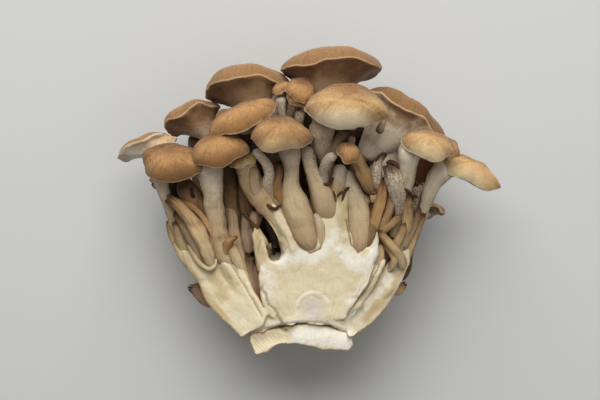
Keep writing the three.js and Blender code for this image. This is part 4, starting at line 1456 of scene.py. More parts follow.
EXTRAS = (
    Strand(
        "stub_ridge", StrandTone.GOLD,
        (
            (-35.3, -19.8, 38.8, 0.7), (-38, -12.9, 41.8, 1.2), (-42.3, -5.7, 43, 1.2),
            (-47.1, -1.7, 43.2, 1.1), (-51.1, -0.2, 43, 0.8),
        ),
        torn=0.6, flat=0.6,
    ),
    Strand(
        "bud", StrandTone.DEEP,
        (
            (-40.8, -10.2, 35, 1.6), (-43.8, -3, 38, 3), (-47.3, 2.6, 39, 4.3), (-49.4, 7.1, 38.5, 3.2),
            (-50.2, 9.1, 38, 1.6),
        ),
    ),
    # the slit is painted as shade
    Strand(
        "bud_slit", StrandTone.DARK,
        ((-44.9, -1, 39.5, 0.7), (-45.7, 2.2, 42.6, 0.9), (-46.5, 5.4, 42.2, 0.8)),
        flat=0.5,
    ),
    Strand(
        "bud_side", StrandTone.DEEP,
        ((-39.8, -8.6, 38, 1.6), (-42.1, -1.8, 40, 1.9), (-43.7, 4.2, 40, 1.7)),
    ),
    Strand(
        "outer_strap", StrandTone.TAN,
        ((-47.4, -24.9, 32, 2), (-49.7, -18.3, 34, 2.3), (-51.6, -12.6, 35.5, 2.2), (-52.8, -8.6, 36, 1.6)),
        torn=1.2, hollow=1.2,
    ),
    Strand(
        "outer_tooth", StrandTone.TAN,
        ((-51.1, -20.8, 31, 1.6), (-53.9, -15.1, 32, 1.8), (-55.4, -10.3, 33, 1.5), (-56.2, -8.2, 33, 0.8)),
        torn=1.2, flat=0.6,
    ),
    Strand(
        "pale_tooth", StrandTone.CREAM,
        (
            (-44.8, -27.2, 34, 2.6), (-48.5, -23.2, 34, 2.8), (-51.7, -19.5, 33.5, 1.8),
            (-53.8, -16.7, 33.5, 0.9),
        ),
        torn=0.8, flat=0.6,
    ),
    Strand(
        "side_strap", StrandTone.GREYTAN,
        (
            (-41.1, -26.3, 36, 1.8), (-44.6, -19, 38, 2.2), (-48.2, -12.6, 38.5, 2), (-51, -7.8, 38, 1.5),
            (-53.5, -4.6, 37.5, 1.2),
        ),
        torn=0.6,
    ),
    Strand(
        "pocket_lip", StrandTone.CREAM,
        (
            (-36.5, -23, 38.6, 0.6), (-37.3, -26.2, 39, 0.9), (-39.7, -27.4, 39, 0.9),
            (-43.3, -24.6, 39, 1), (-46.2, -20.2, 38.5, 1), (-47.8, -17, 38, 0.8),
        ),
        flat=0.7,
    ),
    Strand(
        "hook", StrandTone.GOLD,
        (
            (-33.4, -22.2, 38, 1.4), (-32.2, -18.5, 40.5, 1.8), (-30.8, -16.1, 42.5, 1.6),
            (-27.6, -14.3, 43, 0.7),
        ),
    ),
    Strand(
        "hook_leg", StrandTone.CREAM,
        ((-24.6, -32, 35.5, 1), (-26.9, -26.2, 38, 2), (-29.7, -19.8, 39.5, 2), (-31.3, -17, 39.5, 1.2)),
    ),
    Strand(
        "seam_side", StrandTone.GREYTAN,
        (
            (-20.6, -38.4, 35, 1), (-23.4, -32.7, 36.5, 1.6), (-25.8, -27.1, 37, 2.2),
            (-27.8, -19.8, 37, 2.4), (-29.4, -12.6, 36, 2.6), (-30.7, -4.6, 35, 2.5),
            (-31.5, 4.3, 33.5, 2.2), (-32, 11.6, 32, 2),
        ),
    ),
    Strand(
        "seam_fold_1", StrandTone.MAUVE,
        ((-23, -21.5, 36, 1.6), (-24.2, -15.8, 37, 2.3), (-24.6, -10.2, 37, 2.2), (-24.6, -5.4, 36, 1.6)),
        torn=0.8,
    ),
    Strand(
        "seam_fold_2", StrandTone.MAUVE,
        ((-21.4, -20.7, 36.5, 1.2), (-20.5, -17, 37, 1.8), (-22.2, -12.6, 37, 2), (-23.4, -8.6, 36.5, 1.4)),
    ),
    Strand(
        "seam_fold_3", StrandTone.MAUVE,
        ((-18.2, -36.9, 34, 1.2), (-18.2, -32, 35, 1.7), (-19, -27.9, 35.5, 1.8)),
        hollow=1.2, torn=0.6,
    ),
    Strand(
        "left_nub_1", StrandTone.TAN,
        ((-58.6, 6.7, 34, 1.4), (-61.4, 8.3, 34, 1.6), (-63.8, 9.1, 34, 1)),
        torn=1, flat=0.6,
    ),
    Strand(
        "left_nub_2", StrandTone.TAN,
        ((-57.8, 5.1, 33, 1.4), (-60.7, 5.9, 33, 1.5), (-62.7, 6.7, 33, 0.9)),
        torn=1, flat=0.6,
    ),
    Strand(
        "prong_rim_1", StrandTone.BROWN,
        (
            (-19.2, -11.3, 41.5, 0.68), (-21.6, -9.3, 42.6, 0.68), (-23.6, -7.3, 43, 0.54),
            (-25.6, -5.5, 43, 0.31),
        ),
        flat=0.6,
    ),
    Strand(
        "prong_rim_2", StrandTone.BROWN,
        (
            (-20.4, -11.7, 41.8, 0.61), (-19.2, -9.3, 42.8, 0.61), (-18.4, -6.9, 43, 0.48),
            (-17.6, -4.9, 43, 0.27),
        ),
        flat=0.6,
    ),
    Strand(
        "prong_back", StrandTone.MAUVE,
        ((-20.5, -11, 39, 1.6), (-20.9, -7, 39.5, 2), (-20.9, -3.8, 39, 1.6)),
        torn=1, flat=0.6,
    ),
    Strand(
        "arm_upper", StrandTone.ARM,
        (
            (-2.5, -27, 38.4, 4.2), (-4.9, -21.8, 39.6, 4.3), (-7.3, -16.2, 40.2, 3.9),
            (-9.7, -11.3, 40.8, 3.5), (-13, -6.1, 41.6, 3.8), (-16.8, -1, 42.6, 4.6),
            (-20.4, 4.2, 43.6, 4.9), (-23.1, 9.4, 44.5, 4.5), (-24.3, 14.1, 45.2, 4.6),
            (-24.7, 17.7, 45.6, 4.8),
        ),
        flat=0.62,
    ),
    Strand(
        "arm_edge", StrandTone.CREAM,
        (
            (-10.4, -16.9, 41.8, 0.3), (-12.8, -11.7, 42.3, 0.5), (-16.4, -6.1, 42.9, 0.55),
            (-21.2, 0.6, 44, 0.6), (-24.7, 6.2, 45, 0.6), (-26.9, 11.3, 46, 0.6), (-27.4, 15.3, 46.4, 0.5),
        ),
    ),
    Strand(
        "arm_leaf", StrandTone.GREYTAN,
        ((-17.2, 0.2, 44, 1.4), (-19.9, 4.2, 46, 2.2), (-21.1, 9, 47, 2.4), (-21.1, 13.7, 47, 1.8)),
        torn=0.5, flat=0.5,
    ),
    Strand(
        "fork_dark", StrandTone.BROWN,
        ((-15.6, -2.1, 43, 0.54), (-18.3, 1, 45.4, 0.75), (-19.7, 5.8, 45.5, 0.75), (-19.3, 9.8, 45, 0.48)),
        flat=0.6,
    ),
    Strand(
        "fork_fold", StrandTone.TANGREY,
        ((-14, -3.3, 42.8, 1.4), (-12.4, -0.9, 44, 2), (-10.4, 2.6, 44.4, 1.7), (-9.2, 5.8, 44.2, 1)),
        torn=1, flat=0.45,
    ),
    Strand(
        "fork_lip", StrandTone.BROWN,
        (
            (-17.2, -0.6, 44, 0.54), (-15.2, -2.1, 45.4, 0.75), (-12.8, -3.3, 45.2, 0.75),
            (-10.4, -1.3, 44, 0.41),
        ),
        flat=0.6,
    ),
    Strand(
        "fork_inner", StrandTone.GREYTAN,
        ((-13.2, -0.6, 42, 1.6), (-13.6, 4.2, 44, 2), (-12.4, 9.8, 44, 1.9), (-11.2, 15.4, 43, 1.8)),
        torn=0.5,
    ),
    Strand(
        "arm_crease", StrandTone.BROWN,
        ((-3.7, -18.5, 40.8, 0.3), (-5.3, -13.7, 42, 0.5), (-6.9, -8.9, 42.8, 0.6), (-8.4, -4.5, 43, 0.4)),
        flat=0.5,
    ),
    Strand(
        "arm_crease_2", StrandTone.TAN,
        ((-4.1, -14.9, 41, 0.4), (-5.7, -9.7, 42.6, 0.7), (-7.2, -4.9, 43.2, 0.8), (-9.2, -1, 43, 0.5)),
        flat=0.6,
    ),
    Strand(
        "thin_back_1", StrandTone.GREYTAN,
        ((4, -10.2, 36, 1.6), (2.8, -4.6, 37.5, 1.4), (0.9, 1, 38, 1)),
    ),
    Strand("thin_back_3", StrandTone.SPECK, ((4.3, 5.8, 40, 1.6), (2.3, 13, 44, 2), (1.1, 19.3, 46, 2.2))),
    Strand(
        "notch_line", StrandTone.BROWN,
        ((9.5, -7.4, 40, 0.34), (10.5, -2.1, 42, 0.61), (10.7, 2.6, 43, 0.61), (10.7, 5.8, 43, 0.34)),
        flat=0.6,
    ),
    Strand(
        "notch_base", StrandTone.BROWN,
        ((4.3, -8.2, 40.5, 0.34), (7.1, -8.3, 41.6, 0.48), (9.5, -7.3, 41.5, 0.34)),
        flat=0.6,
    ),
    Strand(
        "curl_socket", StrandTone.BROWN,
        ((5.1, 9, 44, 0.34), (6.7, 6.6, 45, 0.61), (9, 7, 45, 0.54), (10.6, 9.4, 44.5, 0.27)),
        flat=0.6,
    ),
    Strand(
        "spike_tip_1", StrandTone.BROWN,
        ((13.8, -1.3, 43.6, 0.3), (14.4, 1.8, 44.4, 0.6), (15.4, 4.2, 44.6, 0.7), (17, 5.4, 44.4, 0.35)),
        flat=0.6,
    ),
    Strand(
        "spike_tip_2", StrandTone.BROWN,
        ((15, 3.4, 44.4, 0.5), (13.4, 3.2, 44.4, 0.5), (11.8, 1.4, 44, 0.3)),
        flat=0.6,
    ),
    Strand(
        "socket_cup", StrandTone.BULB,
        (
            (1.1, -20.6, 39.8, 0.8), (3.9, -18.5, 40.6, 1.5), (5.5, -14.9, 41.2, 1.9),
            (4.9, -10.1, 41.6, 1.9), (3.1, -4.9, 41.2, 1.5),
        ),
        flat=0.8,
    ),
    Strand(
        "bulb_side", StrandTone.DEEP,
        (
            (21.5, -20.9, 40.4, 1), (24.3, -16.1, 41, 2.1), (26.1, -9.7, 41.2, 2.5),
            (27.1, -4.2, 40.8, 2.2), (25.9, -0.2, 41, 1.4),
        ),
        flat=0.8,
    ),
    Strand(
        "cavity_lip", StrandTone.GREYTAN,
        (
            (25.5, -0.6, 41, 1.4), (22.7, 1, 41.2, 1.6), (19.9, 4.6, 41.2, 1.2), (18.1, 9.4, 42, 0.9),
            (17.5, 14.6, 42, 0.8),
        ),
        flat=0.6,
    ),
    Strand(
        "nub", StrandTone.TAN,
        ((26.2, -1, 43, 0.9), (26.1, 1.4, 44.5, 1.4), (25.7, 3.8, 45, 1.2)),
        hollow=0.8, torn=0.4, flat=0.7,
    ),
    Strand(
        "taper_lip", StrandTone.BROWN,
        ((23.3, 4.2, 44.6, 0.27), (24.9, 3, 45.5, 0.54), (26.9, 2.8, 45.4, 0.54), (27.3, 5, 45, 0.27)),
        flat=0.6,
    ),
    Strand(
        "strap_1", StrandTone.GOLD,
        (
            (25.6, -15, 39, 1.5), (27, -8.5, 42, 2.3), (28.6, -2.1, 43.6, 2.4), (29.7, 3.4, 44.4, 2.2),
            (30.1, 8.2, 45, 1.6),
        ),
        torn=1.4, hollow=1, flat=0.7,
    ),
    Strand(
        "strap_2", StrandTone.TANGREY,
        (
            (28.4, -14.2, 39, 1.4), (30.7, -9.3, 41.4, 1.8), (32.6, -4.1, 42.4, 1.9),
            (33.4, 0.6, 42.4, 1.9), (32.6, 5, 42, 1.6),
        ),
        flat=0.7,
    ),
    Strand(
        "strap_3", StrandTone.GREYTAN,
        ((34.2, -15.1, 35, 2), (35.7, -10.2, 37, 2.2), (36.4, -5.4, 39, 2.2), (36.3, -1.4, 40, 2)),
        flat=0.8,
    ),
    Strand(
        "speck_hook", StrandTone.BROWN,
        ((27.2, 12.1, 47, 0.34), (27.5, 15.6, 48.4, 0.61), (29.1, 18, 49, 0.68), (31.5, 18.8, 49, 0.34)),
        flat=0.7,
    ),
    Strand(
        "fuzzy_hood", StrandTone.BROWN,
        ((36.3, 11.3, 47.6, 0.4), (35, 14.1, 48.8, 0.9), (33, 15.2, 49.2, 0.9), (31.1, 14.8, 48.8, 0.5)),
        flat=0.5, torn=0.8,
    ),
    Strand(
        "tan_torn", StrandTone.BROWN,
        ((37.8, 1.8, 42.6, 0.34), (38.5, 4.2, 43.8, 0.75), (40.5, 3.4, 43.8, 0.68), (41.7, 1.4, 43, 0.34)),
        flat=0.6,
    ),
    Strand(
        "outer_hook", StrandTone.BROWN,
        ((41.3, -2.2, 38, 0.54), (41.9, 1, 40.5, 0.75), (43.1, 1.8, 41, 0.68), (44.3, 1, 41, 0.34)),
        flat=0.7,
    ),
    Strand(
        "wall_leaf", StrandTone.RUST,
        ((42.6, 0.2, 30, 2.6), (44.9, 6.7, 32, 4.2), (47.3, 13.2, 33, 5.4), (49.6, 18, 34, 5.6)),
        flat=0.3,
    ),
    Strand(
        "wall_leaf_2", StrandTone.RUST,
        ((41, -5.4, 30, 2.6), (44.5, 0.2, 32, 3.4), (46.4, 5.1, 33, 3.6)),
        flat=0.3,
    ),
    Strand(
        "cross_1", StrandTone.TANGREY,
        ((28.4, -13.4, 39.5, 1.2), (31.5, -10.9, 41, 1.7), (34.3, -8.7, 41, 1.8), (37.5, -6.2, 40, 1.5)),
        flat=0.8,
    ),
    Strand(
        "edge_strand", StrandTone.TAN,
        (
            (37.3, -25.7, 30, 2.4), (40.5, -20, 31.5, 2.3), (43.2, -14.3, 33, 2), (45.5, -8.6, 34.6, 1.6),
            (47.1, -5, 35.6, 1),
        ),
        torn=1, flat=0.7,
    ),
    Strand(
        "edge_strand_2", StrandTone.GREYTAN,
        ((38.3, -19.1, 34, 1.8), (41, -13.4, 35.5, 1.9), (43.4, -8.2, 36.5, 1.7), (44.9, -3.8, 37.5, 1.1)),
        torn=1, flat=0.7,
    ),
    Strand(
        "lower_strand", StrandTone.TAN,
        ((33.1, -23.2, 33, 1.8), (35.8, -17.5, 36, 2), (38.1, -12.6, 38, 1.8), (38.8, -8.6, 39, 1.2)),
        torn=1,
    ),
    Strand(
        "pale_nub", StrandTone.CREAM,
        ((29.5, -30.5, 33, 2.6), (28.5, -24.7, 36, 2.9), (28.8, -19.8, 37.5, 2.4), (29.6, -17, 38, 1.5)),
    ),
    Strand(
        "loop_1", StrandTone.TAN,
        (
            (32.2, -28.8, 34, 0.9), (34.5, -26.3, 37, 1.4), (34.8, -22.6, 38.5, 1.4),
            (32.4, -19.4, 39, 1.2), (30.4, -17, 39.2, 0.8),
        ),
        flat=0.7,
    ),
    Strand(
        "loop_2", StrandTone.BROWN,
        (
            (29.8, -27.2, 35, 0.48), (31.3, -24.7, 37.2, 0.75), (31.6, -21.4, 38, 0.75),
            (30.4, -18.6, 38.4, 0.48),
        ),
        flat=0.7,
    ),
    Strand(
        "right_hollow", StrandTone.RUST,
        ((37.9, -32.4, 27, 1.8), (40.2, -27.4, 29, 2.2), (40.9, -22.5, 30.5, 1.9), (40.9, -20, 31, 1.4)),
        torn=1.2, hollow=2, flat=0.7,
    ),
    # dark backing stems, painted as shade in the gaps between the stems
    Strand(
        "wall_1", StrandTone.PAINTED_SHADE,
        ((-18.5, -16.2, 22, 5), (-20.5, -1.8, 24, 7), (-22.1, 12.5, 25, 7), (-23.3, 25.6, 26, 6)),
    ),
    Strand(
        "wall_2", StrandTone.PAINTED_SHADE,
        ((-7, -16.2, 22, 6), (-7.4, -1.8, 24, 8), (-8.2, 14.6, 25, 8), (-9, 28, 26, 7)),
    ),
    Strand(
        "wall_3", StrandTone.PAINTED_SHADE,
        ((4.5, -16.2, 22, 6), (4.5, -1.8, 24, 8), (4.5, 14.6, 25, 8), (4.5, 29.6, 26, 7)),
    ),
    Strand(
        "wall_4", StrandTone.PAINTED_SHADE,
        ((16, -16.2, 22, 6), (16.8, -1.8, 24, 8), (17.6, 12.5, 25, 8), (18.8, 25.6, 26, 7)),
    ),
    Strand(
        "wall_5", StrandTone.PAINTED_SHADE,
        ((26, -19.5, 20, 5), (28.8, -4.7, 22, 6.5), (31.2, 8.4, 23, 7), (33.2, 19.9, 24, 6)),
    ),
    Strand(
        "wall_6", StrandTone.PAINTED_SHADE,
        ((35.6, -22.9, 17, 4), (38.9, -11.3, 18, 4.6), (42.5, -0.6, 20, 4.6), (45.7, 8.5, 21, 4.4)),
    ),
    Strand(
        "wall_7", StrandTone.PAINTED_SHADE,
        ((-30.9, -22.8, 20, 5), (-34.5, -8, 22, 6), (-37.3, 6.4, 24, 6.2), (-38.5, 18.6, 25, 6)),
    ),
    Strand("wall_9", StrandTone.PAINTED_SHADE, ((-2.9, 18.5, 30, 4.6), (-1.7, 27.7, 34, 4.6), (-0.1, 35.7, 36, 4))),
    Strand("wall_10", StrandTone.PAINTED_SHADE, ((15, 19.8, 29, 5), (18.6, 27, 31, 5), (22.2, 32.6, 32, 4.4))),
    Strand("wall_11", StrandTone.PAINTED_SHADE, ((31.5, 20.7, 24, 4.6), (33.5, 28.9, 25, 4.6))),
    Strand(
        "wall_12", StrandTone.PAINTED_SHADE,
        ((-48.3, -7.1, 30, 2.6), (-52.2, 1.1, 33, 3.2), (-54.1, 8.3, 35, 3.4), (-54.3, 13.1, 37, 3.2)),
    ),
    Strand(
        "wall_8", StrandTone.PAINTED_SHADE,
        ((-44.2, -20.4, 18, 3.6), (-48.2, -8.8, 20, 4), (-50.6, 1.1, 21, 4.2), (-51.3, 10.1, 22, 4)),
    ),
    Strand(
        "nook_stem", StrandTone.WHITE,
        ((-9.7, 29, 40, 1.8), (-10, 34.5, 42, 1.8), (-10.4, 38.4, 43.5, 2), (-10.4, 41.6, 44.5, 2.6)),
    ),
    Strand(
        "nook_stem_2", StrandTone.DEEPFUZZ,
        ((-2.9, 24.2, 40, 1.8), (-3.3, 30.6, 42, 1.9), (-2.9, 36.1, 43, 2.4)),
    ),
    Strand(
        "ring_leaf", StrandTone.GREYTAN,
        ((10.6, 16.1, 44, 1.2), (11, 20.8, 47, 1.7), (12.9, 24.7, 49, 1.8), (16, 27, 50, 1.6)),
        flat=0.5,
    ),
    Strand(
        "ring_leaf_2", StrandTone.MUTED,
        ((17.9, 16.2, 41, 1.6), (17.4, 20.9, 43, 1.5), (17.8, 25.7, 45, 1.6)),
        flat=0.6,
    ),
    Strand(
        "pale_lobe", StrandTone.CREAM,
        ((17.2, 31, 50, 1.6), (17.6, 28.6, 51, 2.3), (17.6, 27.6, 51, 1.9)),
        flat=0.5,
    ),
    Strand(
        "wing_flap", StrandTone.GREYTAN,
        ((30.8, 33.1, 46, 0.5), (29.8, 30.3, 46.6, 1.2), (28.8, 28, 46.6, 1.6), (28.2, 26.4, 46.4, 1)),
        flat=0.5,
    ),
)

CUT_LOBES = (
    Strand(
        "lobe_arm", StrandTone.CREAM,
        (
            (-2.1, -24.7, 37.4, 3.8), (-5.3, -18.2, 40, 3.8), (-8.9, -11.7, 41.4, 3.4),
            (-13.2, -4.9, 42.2, 3.5), (-18, 0.6, 42.4, 2.8),
        ),
    ),
    Strand(
        "lobe_left_join", StrandTone.CREAM,
        ((-19.8, -50.5, 35, 2.6), (-15.7, -47.2, 37.2, 3.2), (-10.9, -44.7, 38.6, 3.2)),
    ),
    Strand(
        "lobe_right_join", StrandTone.CREAM,
        ((14, -48.8, 37, 3), (17.6, -43.9, 37.8, 3.4), (21.6, -39.1, 37.5, 3.2)),
    ),
    Strand(
        "lobe_lip_left", StrandTone.CREAM,
        (
            (-25.4, -53.3, 35.6, 1.5), (-20.1, -50.3, 37.6, 2.7), (-14.5, -47.6, 39.2, 3.4),
            (-8.9, -46.3, 40.2, 3.7), (-2.9, -45.5, 40.5, 3.8),
        ),
        flat=0.45,
    ),
    Strand(
        "lobe_lip_right", StrandTone.CREAM,
        (
            (-2.9, -45.5, 40.5, 3.8), (2.7, -45.1, 40.5, 3.8), (7.9, -46.1, 40.2, 3.8),
            (12.7, -47.8, 39.3, 3.5), (18.4, -50.8, 37.4, 2.2),
        ),
        flat=0.45,
    ),
    Strand(
        "lobe_lip_edge", StrandTone.CREAM,
        (
            (-25, -53.3, 36, 1.1), (-19.7, -50.7, 38.4, 1.7), (-14.5, -49, 40, 1.9), (-8.9, -47.7, 41, 1.9),
            (-2.9, -46.9, 41.2, 1.9), (2.7, -46.5, 41.2, 1.9), (7.9, -47.5, 41, 1.9),
            (12.7, -49.4, 40, 1.8), (18, -51.7, 38, 1.2),
        ),
        flat=0.6,
    ),
    Strand(
        "lobe_left_tooth", StrandTone.CREAM,
        ((-40.9, -33.7, 33, 4), (-44.8, -27.2, 34.5, 3), (-48.4, -22.3, 34.5, 2), (-50.9, -19.1, 34, 1)),
    ),
    Strand(
        "lobe_left_crest", StrandTone.CREAM,
        (
            (-27, -39.3, 35, 3.4), (-30.2, -31.1, 36.8, 3.2), (-32.6, -25.5, 37.4, 2.6),
            (-34.6, -21.1, 37, 1.5),
        ),
    ),
    Strand(
        "lobe_prong", StrandTone.CREAM,
        (
            (-15.7, -30.2, 38, 3.2), (-18.5, -22.9, 40.6, 2.3), (-20.2, -16.9, 42, 1.8),
            (-21.4, -12.1, 42.4, 1.2),
        ),
    ),
    Strand(
        "lobe_spike", StrandTone.CREAM,
        (
            (12.4, -24.6, 37.6, 5), (13.1, -17.4, 39.4, 4.2), (13.7, -10.1, 41, 3), (14.3, -3.7, 42.2, 2.1),
            (15, 1.8, 43.2, 1.4), (15.6, 4.2, 43.6, 1),
        ),
        flat=0.8,
    ),
    Strand(
        "lobe_spike_right", StrandTone.CREAM,
        ((22.4, -28.6, 38, 4), (25.5, -21.4, 39.6, 2.8), (27.1, -15.7, 40.6, 1.6), (27.9, -10.9, 41, 0.8)),
    ),
    Strand(
        "lobe_right_edge", StrandTone.CREAM,
        ((26.2, -42.6, 33, 4), (32.7, -35.3, 33, 3.6), (37.2, -28.1, 32, 2.6), (39.3, -23.3, 31.5, 1.6)),
    ),
    Strand(
        "lobe_right_fold", StrandTone.CREAM,
        ((21.3, -40.8, 36.6, 1.4), (25.2, -34.3, 38, 1.6), (28.8, -27.8, 38.2, 1.5), (31.3, -23, 37.5, 1)),
    ),
)

HEEL_LINE = (
    (-24.5, -54.2), (-20.5, -52.4), (-15.7, -51.2), (-8.9, -49.8), (-3.7, -48.8), (1.9, -48.4),
    (7.5, -49.6), (12.4, -51.2), (18.8, -53),
)

CUT_MARKS = (
    Mark(
        "white",
        ((-9.6, -24.5), (-5.3, -22.1), (0.3, -22.9), (5.1, -22.1), (8.7, -17.3), (11.5, -12.5)),
        3, 0.8, 0.15, 1.8,
    ),
    Mark("amber", ((13.5, -10.9), (14.7, -2.9), (15.5, 3.4)), 2.4, 0.8, 0, 0.6),
    Mark("white", ((13.9, -19.7), (17.9, -25.3), (24.2, -24.5), (27.8, -18.9)), 3.2, 0.9, 0.15, 1.5),
    Mark("white", ((26.6, -24.5), (21.9, -33.7), (17.1, -41.2)), 2.6, 0.6, 0, 1.5),
    Mark("white", ((-18, -26.9), (-14.8, -30.9), (-15.6, -36.4)), 2.8, 0.65, 0, 1.5),
    # painted highlight on the heel
    Mark("white", ((-3.3, -54), (1.9, -53.2), (6.7, -54.4), (15.5, -55.6)), 3.6, 1.4, 0.5, 0.8),
    Mark("white", ((-27.6, -46), (-22.8, -48), (-18, -46.4)), 2.8, 0.35, 0, 1.5),
    # painted highlight on the left branch
    Mark("white", ((-33.6, -20.5), (-31.2, -24.5)), 2.2, 1, 0, 0.6),
    Mark("white", ((17.9, -46.8), (24.2, -41.2), (30.6, -34.1), (36.2, -26.1)), 2.6, 0.6, 0, 1.5),
    Mark(
        "white",
        ((-25.2, -53.2), (-18, -50.6), (-8.9, -48.4), (1.1, -47.2), (11.5, -49.6), (17.9, -51.6)),
        0.8, 1.1, 0.1, 0.3,
    ),
    Mark("amber", ((-2.9, -30.1), (4.3, -32.5), (12.3, -30.1)), 7, 0.25, -0.2, 2),
    Mark("amber", ((-37.2, -31.7), (-34, -37.2), (-30.8, -34.1), (-34, -28.5)), 4.6, 0.8, -0.2, 2),
    Mark("amber", ((-49.9, -22.1), (-42.7, -35.6), (-32.4, -48.4)), 2, 0.9, 0, 0.8),
    Mark("amber", ((-20.4, -56.8), (-15.6, -54.8), (-9.2, -54.8)), 3, 0.5, -0.7, 0.8),
    Mark("amber", ((-6.9, -57.6), (5.1, -59.6), (16.3, -59.6)), 1.6, 0.5, 0, 0.8),
    Mark("amber", ((-20.8, -10.9), (-19.6, -16.5), (-17.6, -22.9)), 2.4, 0.8, 0, 0.6),
    Mark("amber", ((-16.4, -6.9), (-20.4, 0.2)), 3.4, 0.6, 0, 0.8),
    Mark("amber", ((38.6, -24.5), (33, -36.4), (23.5, -47.6)), 2.6, 0.9, 0, 0.8),
    Mark("amber", ((30.6, -32.5), (25.8, -38.8), (21.1, -44.4)), 3, 0.6, 0, 1.5),
    Mark("amber", ((15.5, -24.5), (17.9, -31.7), (15.5, -38.8)), 5, 0.45, 0, 1.5),
    # a sunk pit, painted near-black as shade
    Mark("dark", ((-17.2, -6.5), (-14.8, -11.7), (-13, -16.9), (-12.4, -20.9)), 2, 1.3, -13, 0.2),
    Mark("grey", ((2.3, -42.4), (2.7, -44.4)), 5.6, 1, -0.25, 0.6),
    Mark("grey", ((-24.4, 13), (-22.8, 6.6)), 3.6, 0.8, 0, 0.8),
    Mark(
        "white",
        (
            (-4.1, -45.9), (-4.4, -42.7), (-3.2, -39.7), (-0.8, -37.6), (2.3, -36.8), (5.4, -37.6),
            (7.9, -39.7), (9, -42.7), (8.7, -45.9),
        ),
        0.65, 0.6, 0.2, 0.4,
    ),
    Mark(
        "brown",
        (
            (-5.7, -45.5), (-5.7, -42.2), (-4.3, -39.1), (-1.9, -36.9), (1.1, -35.7), (4.3, -35.9),
            (7.3, -37.3), (9.4, -39.8),
        ),
        0.45, 0.28, -0.1, 0.6,
    ),
    Mark(
        "brown",
        (
            (-7.3, -8.5), (-5.3, -14.5), (-2.5, -18.9), (1.5, -20.9), (5.1, -18.9), (6.7, -14.9),
            (6.3, -11.3),
        ),
        0.5, 0.75, -0.3, 0.3,
    ),
    Mark(
        "brown",
        (
            (15.5, -7.7), (16.7, -12.5), (17.5, -17.3), (20.3, -20.9), (23.5, -17.7), (25.4, -13.3),
            (27, -9.3),
        ),
        0.5, 0.8, -0.3, 0.3,
    ),
    Mark("brown", ((29, -25.3), (25.4, -32.9), (20.3, -40), (15.9, -45.6)), 0.5, 0.6, -0.4, 0.3),
    Mark("brown", ((30.6, -26.9), (27, -34.9), (21.9, -41.6), (17.9, -45.6)), 0.4, 0.45, -0.25, 0.6),
    Mark("brown", ((27, -24.5), (23.5, -31.7), (18.7, -38.8)), 0.35, 0.45, -0.3, 0.6),
    Mark("brown", ((-18, -34.9), (-15.2, -40.8), (-12.4, -45.2), (-9.6, -48.4)), 1, 0.6, -0.3, 1.2),
    Mark("brown", ((-10.8, -50.4), (-8.5, -52)), 1.3, 0.6, -0.9, 0.4),
    Mark(
        "brown",
        ((-47.5, -16.9), (-44.3, -22.9), (-40.4, -27.3), (-37.6, -27.7), (-36.4, -24.5)),
        0.5, 0.7, -0.2, 0.3,
    ),
    Mark(
        "brown",
        (
            (-7.5, -24.2), (-7.5, -26.3), (-6.4, -27.9), (-4.6, -28.5), (-2.9, -27.6), (-2.1, -25.7),
            (-2.4, -23.7),
        ),
        0.38, 0.35, -0.15, 0.5,
    ),
    Mark(
        "brown",
        (
            (-18.6, -25.3), (-19.6, -27), (-19.3, -29.2), (-18, -30.4), (-16.4, -29.9), (-15.6, -28),
            (-16.1, -25.9),
        ),
        0.38, 0.35, -0.15, 0.5,
    ),
    Mark("brown", ((-30.8, -24.5), (-26.8, -31.7), (-22.4, -38.8), (-18, -46)), 0.5, 0.6, -0.5, 0.5),
    Mark("brown", ((-36.4, -24.5), (-33.2, -31.7), (-30, -36.4)), 0.8, 0.25, -0.3, 1),
    Mark("brown", ((-4.5, -12.5), (-7.7, -6.9), (-10, -1.8)), 0.45, 0.5, -0.2, 0.4),
    Mark("brown", ((-20.8, -24.5), (-19.6, -19.7), (-17.6, -14.9), (-17.2, -10.9)), 0.4, 0.45, -0.2, 0.3),
)


@dataclass
class Caps:
    """All the caps of the cluster."""

    groups: tuple[tuple[str, tuple[Cap, ...]], ...] = (
        ("cap_skin", FRONT_CAPS),
        ("dark_skin", FUNNEL_CAPS),
        ("dark_skin", EXTRA_CAPS),
        ("dark_skin", BACK_CAPS),
    )

    def build(self) -> None:
        """Builds every cap."""
        materials = {tone: tone.value.material() for tone in CapTone}
        for slot, caps in self.groups:
            for cap in caps:
                cap.build(materials[cap.tone], slot)


@dataclass
class Strands:
    """All the stems, shoots and torn lips of the cluster."""

    groups: tuple[tuple[str, tuple[Strand, ...]], ...] = (
        ("stem_flesh", STEMS),
        ("stem_flesh", BACK_STEMS),
        ("shoot_flesh", SHOOTS),
        ("shoot_flesh", EXTRAS),
    )

    def build(self) -> None:
        """Builds every strand."""
        materials = {tone: tone.value.material() for tone in StrandTone}
        for slot, strands in self.groups:
            for strand in strands:
                nodes = [strand.node] if strand.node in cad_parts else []
                strand.build(materials[strand.tone], slot, nodes)


# ----------------------------------------------------------------------------------------------------
# Studio


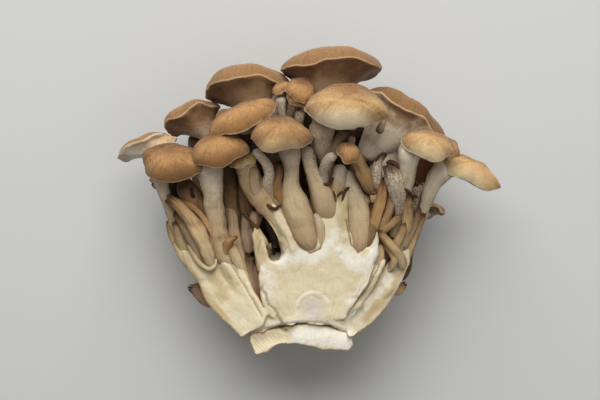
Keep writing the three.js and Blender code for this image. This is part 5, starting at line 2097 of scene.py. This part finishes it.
@dataclass
class Studio:
    """The table, the lights and the camera above the cluster."""

    camera_place: Point = (-2.87, 0.24, 705.0)
    focal_length: float = 99.75
    table_side: float = 6.0  # metres
    key_place: Point = (-0.07, 0.74, 0.74)
    key_size: float = 1.05
    key_power: float = 13.4
    fill_place: Point = (0.5, -0.3, 1.1)
    fill_size: float = 1.2
    fill_power: float = 1.9
    sky: float = 0.125
    lamp_colour: Colour = (1.0, 0.985, 0.96)

    def table(self) -> None:
        """Lays the pale board under the cluster."""
        bare = bmesh.new()
        bmesh.ops.create_grid(bare, x_segments=1, y_segments=1, size=self.table_side / 2)
        mesh = bpy.data.meshes.new("table")
        bare.to_mesh(mesh)
        bare.free()
        mesh.materials.append(TableFinish().material())
        board = bpy.data.objects.new("table", mesh)
        bpy.context.scene.collection.objects.link(board)

    def lamp(self, name: str, place: Point, size: float, power: float) -> None:
        """Hangs a soft square lamp that looks at the cluster.

        Args:
            name: The lamp's name.
            place: Where it hangs, in metres.
            size: Its side, in metres.
            power: Its power, in watts.
        """
        data = bpy.data.lights.new(name, "AREA")
        data.size = size
        data.energy = power
        data.color = self.lamp_colour
        lamp = bpy.data.objects.new(name, data)
        lamp.location = place
        lamp.rotation_euler = (-Vector(place)).to_track_quat("-Z", "Y").to_euler()
        bpy.context.scene.collection.objects.link(lamp)

    def camera(self) -> None:
        """Hangs the camera straight above the cut face."""
        data = bpy.data.cameras.new("camera")
        data.lens = self.focal_length
        data.sensor_width = 36.0
        data.clip_start = 0.01
        camera = bpy.data.objects.new("camera", data)
        camera.location = Vector(self.camera_place) * MM
        bpy.context.scene.collection.objects.link(camera)
        bpy.context.scene.camera = camera

    def build(self) -> None:
        """Sets up the whole studio."""
        scene = bpy.context.scene
        scene.view_settings.view_transform = "Standard"
        world = bpy.data.worlds.new("sky")
        world.use_nodes = True
        world.node_tree.nodes["Background"].inputs["Color"].default_value = (1.0, 1.0, 1.0, 1.0)
        world.node_tree.nodes["Background"].inputs["Strength"].default_value = self.sky
        scene.world = world
        self.table()
        self.lamp("key_lamp", self.key_place, self.key_size, self.key_power)
        self.lamp("fill_lamp", self.fill_place, self.fill_size, self.fill_power)
        self.camera()


def main() -> None:
    """Builds the cluster around the frame, and the studio around the cluster."""
    logging.basicConfig(level=logging.INFO, format="%(message)s")
    Studio().build()
    CutBase(lobes=CUT_LOBES, marks=CUT_MARKS, heel_line=HEEL_LINE).build()
    Strands().build()
    Caps().build()


if __name__ == "__main__":
    main()
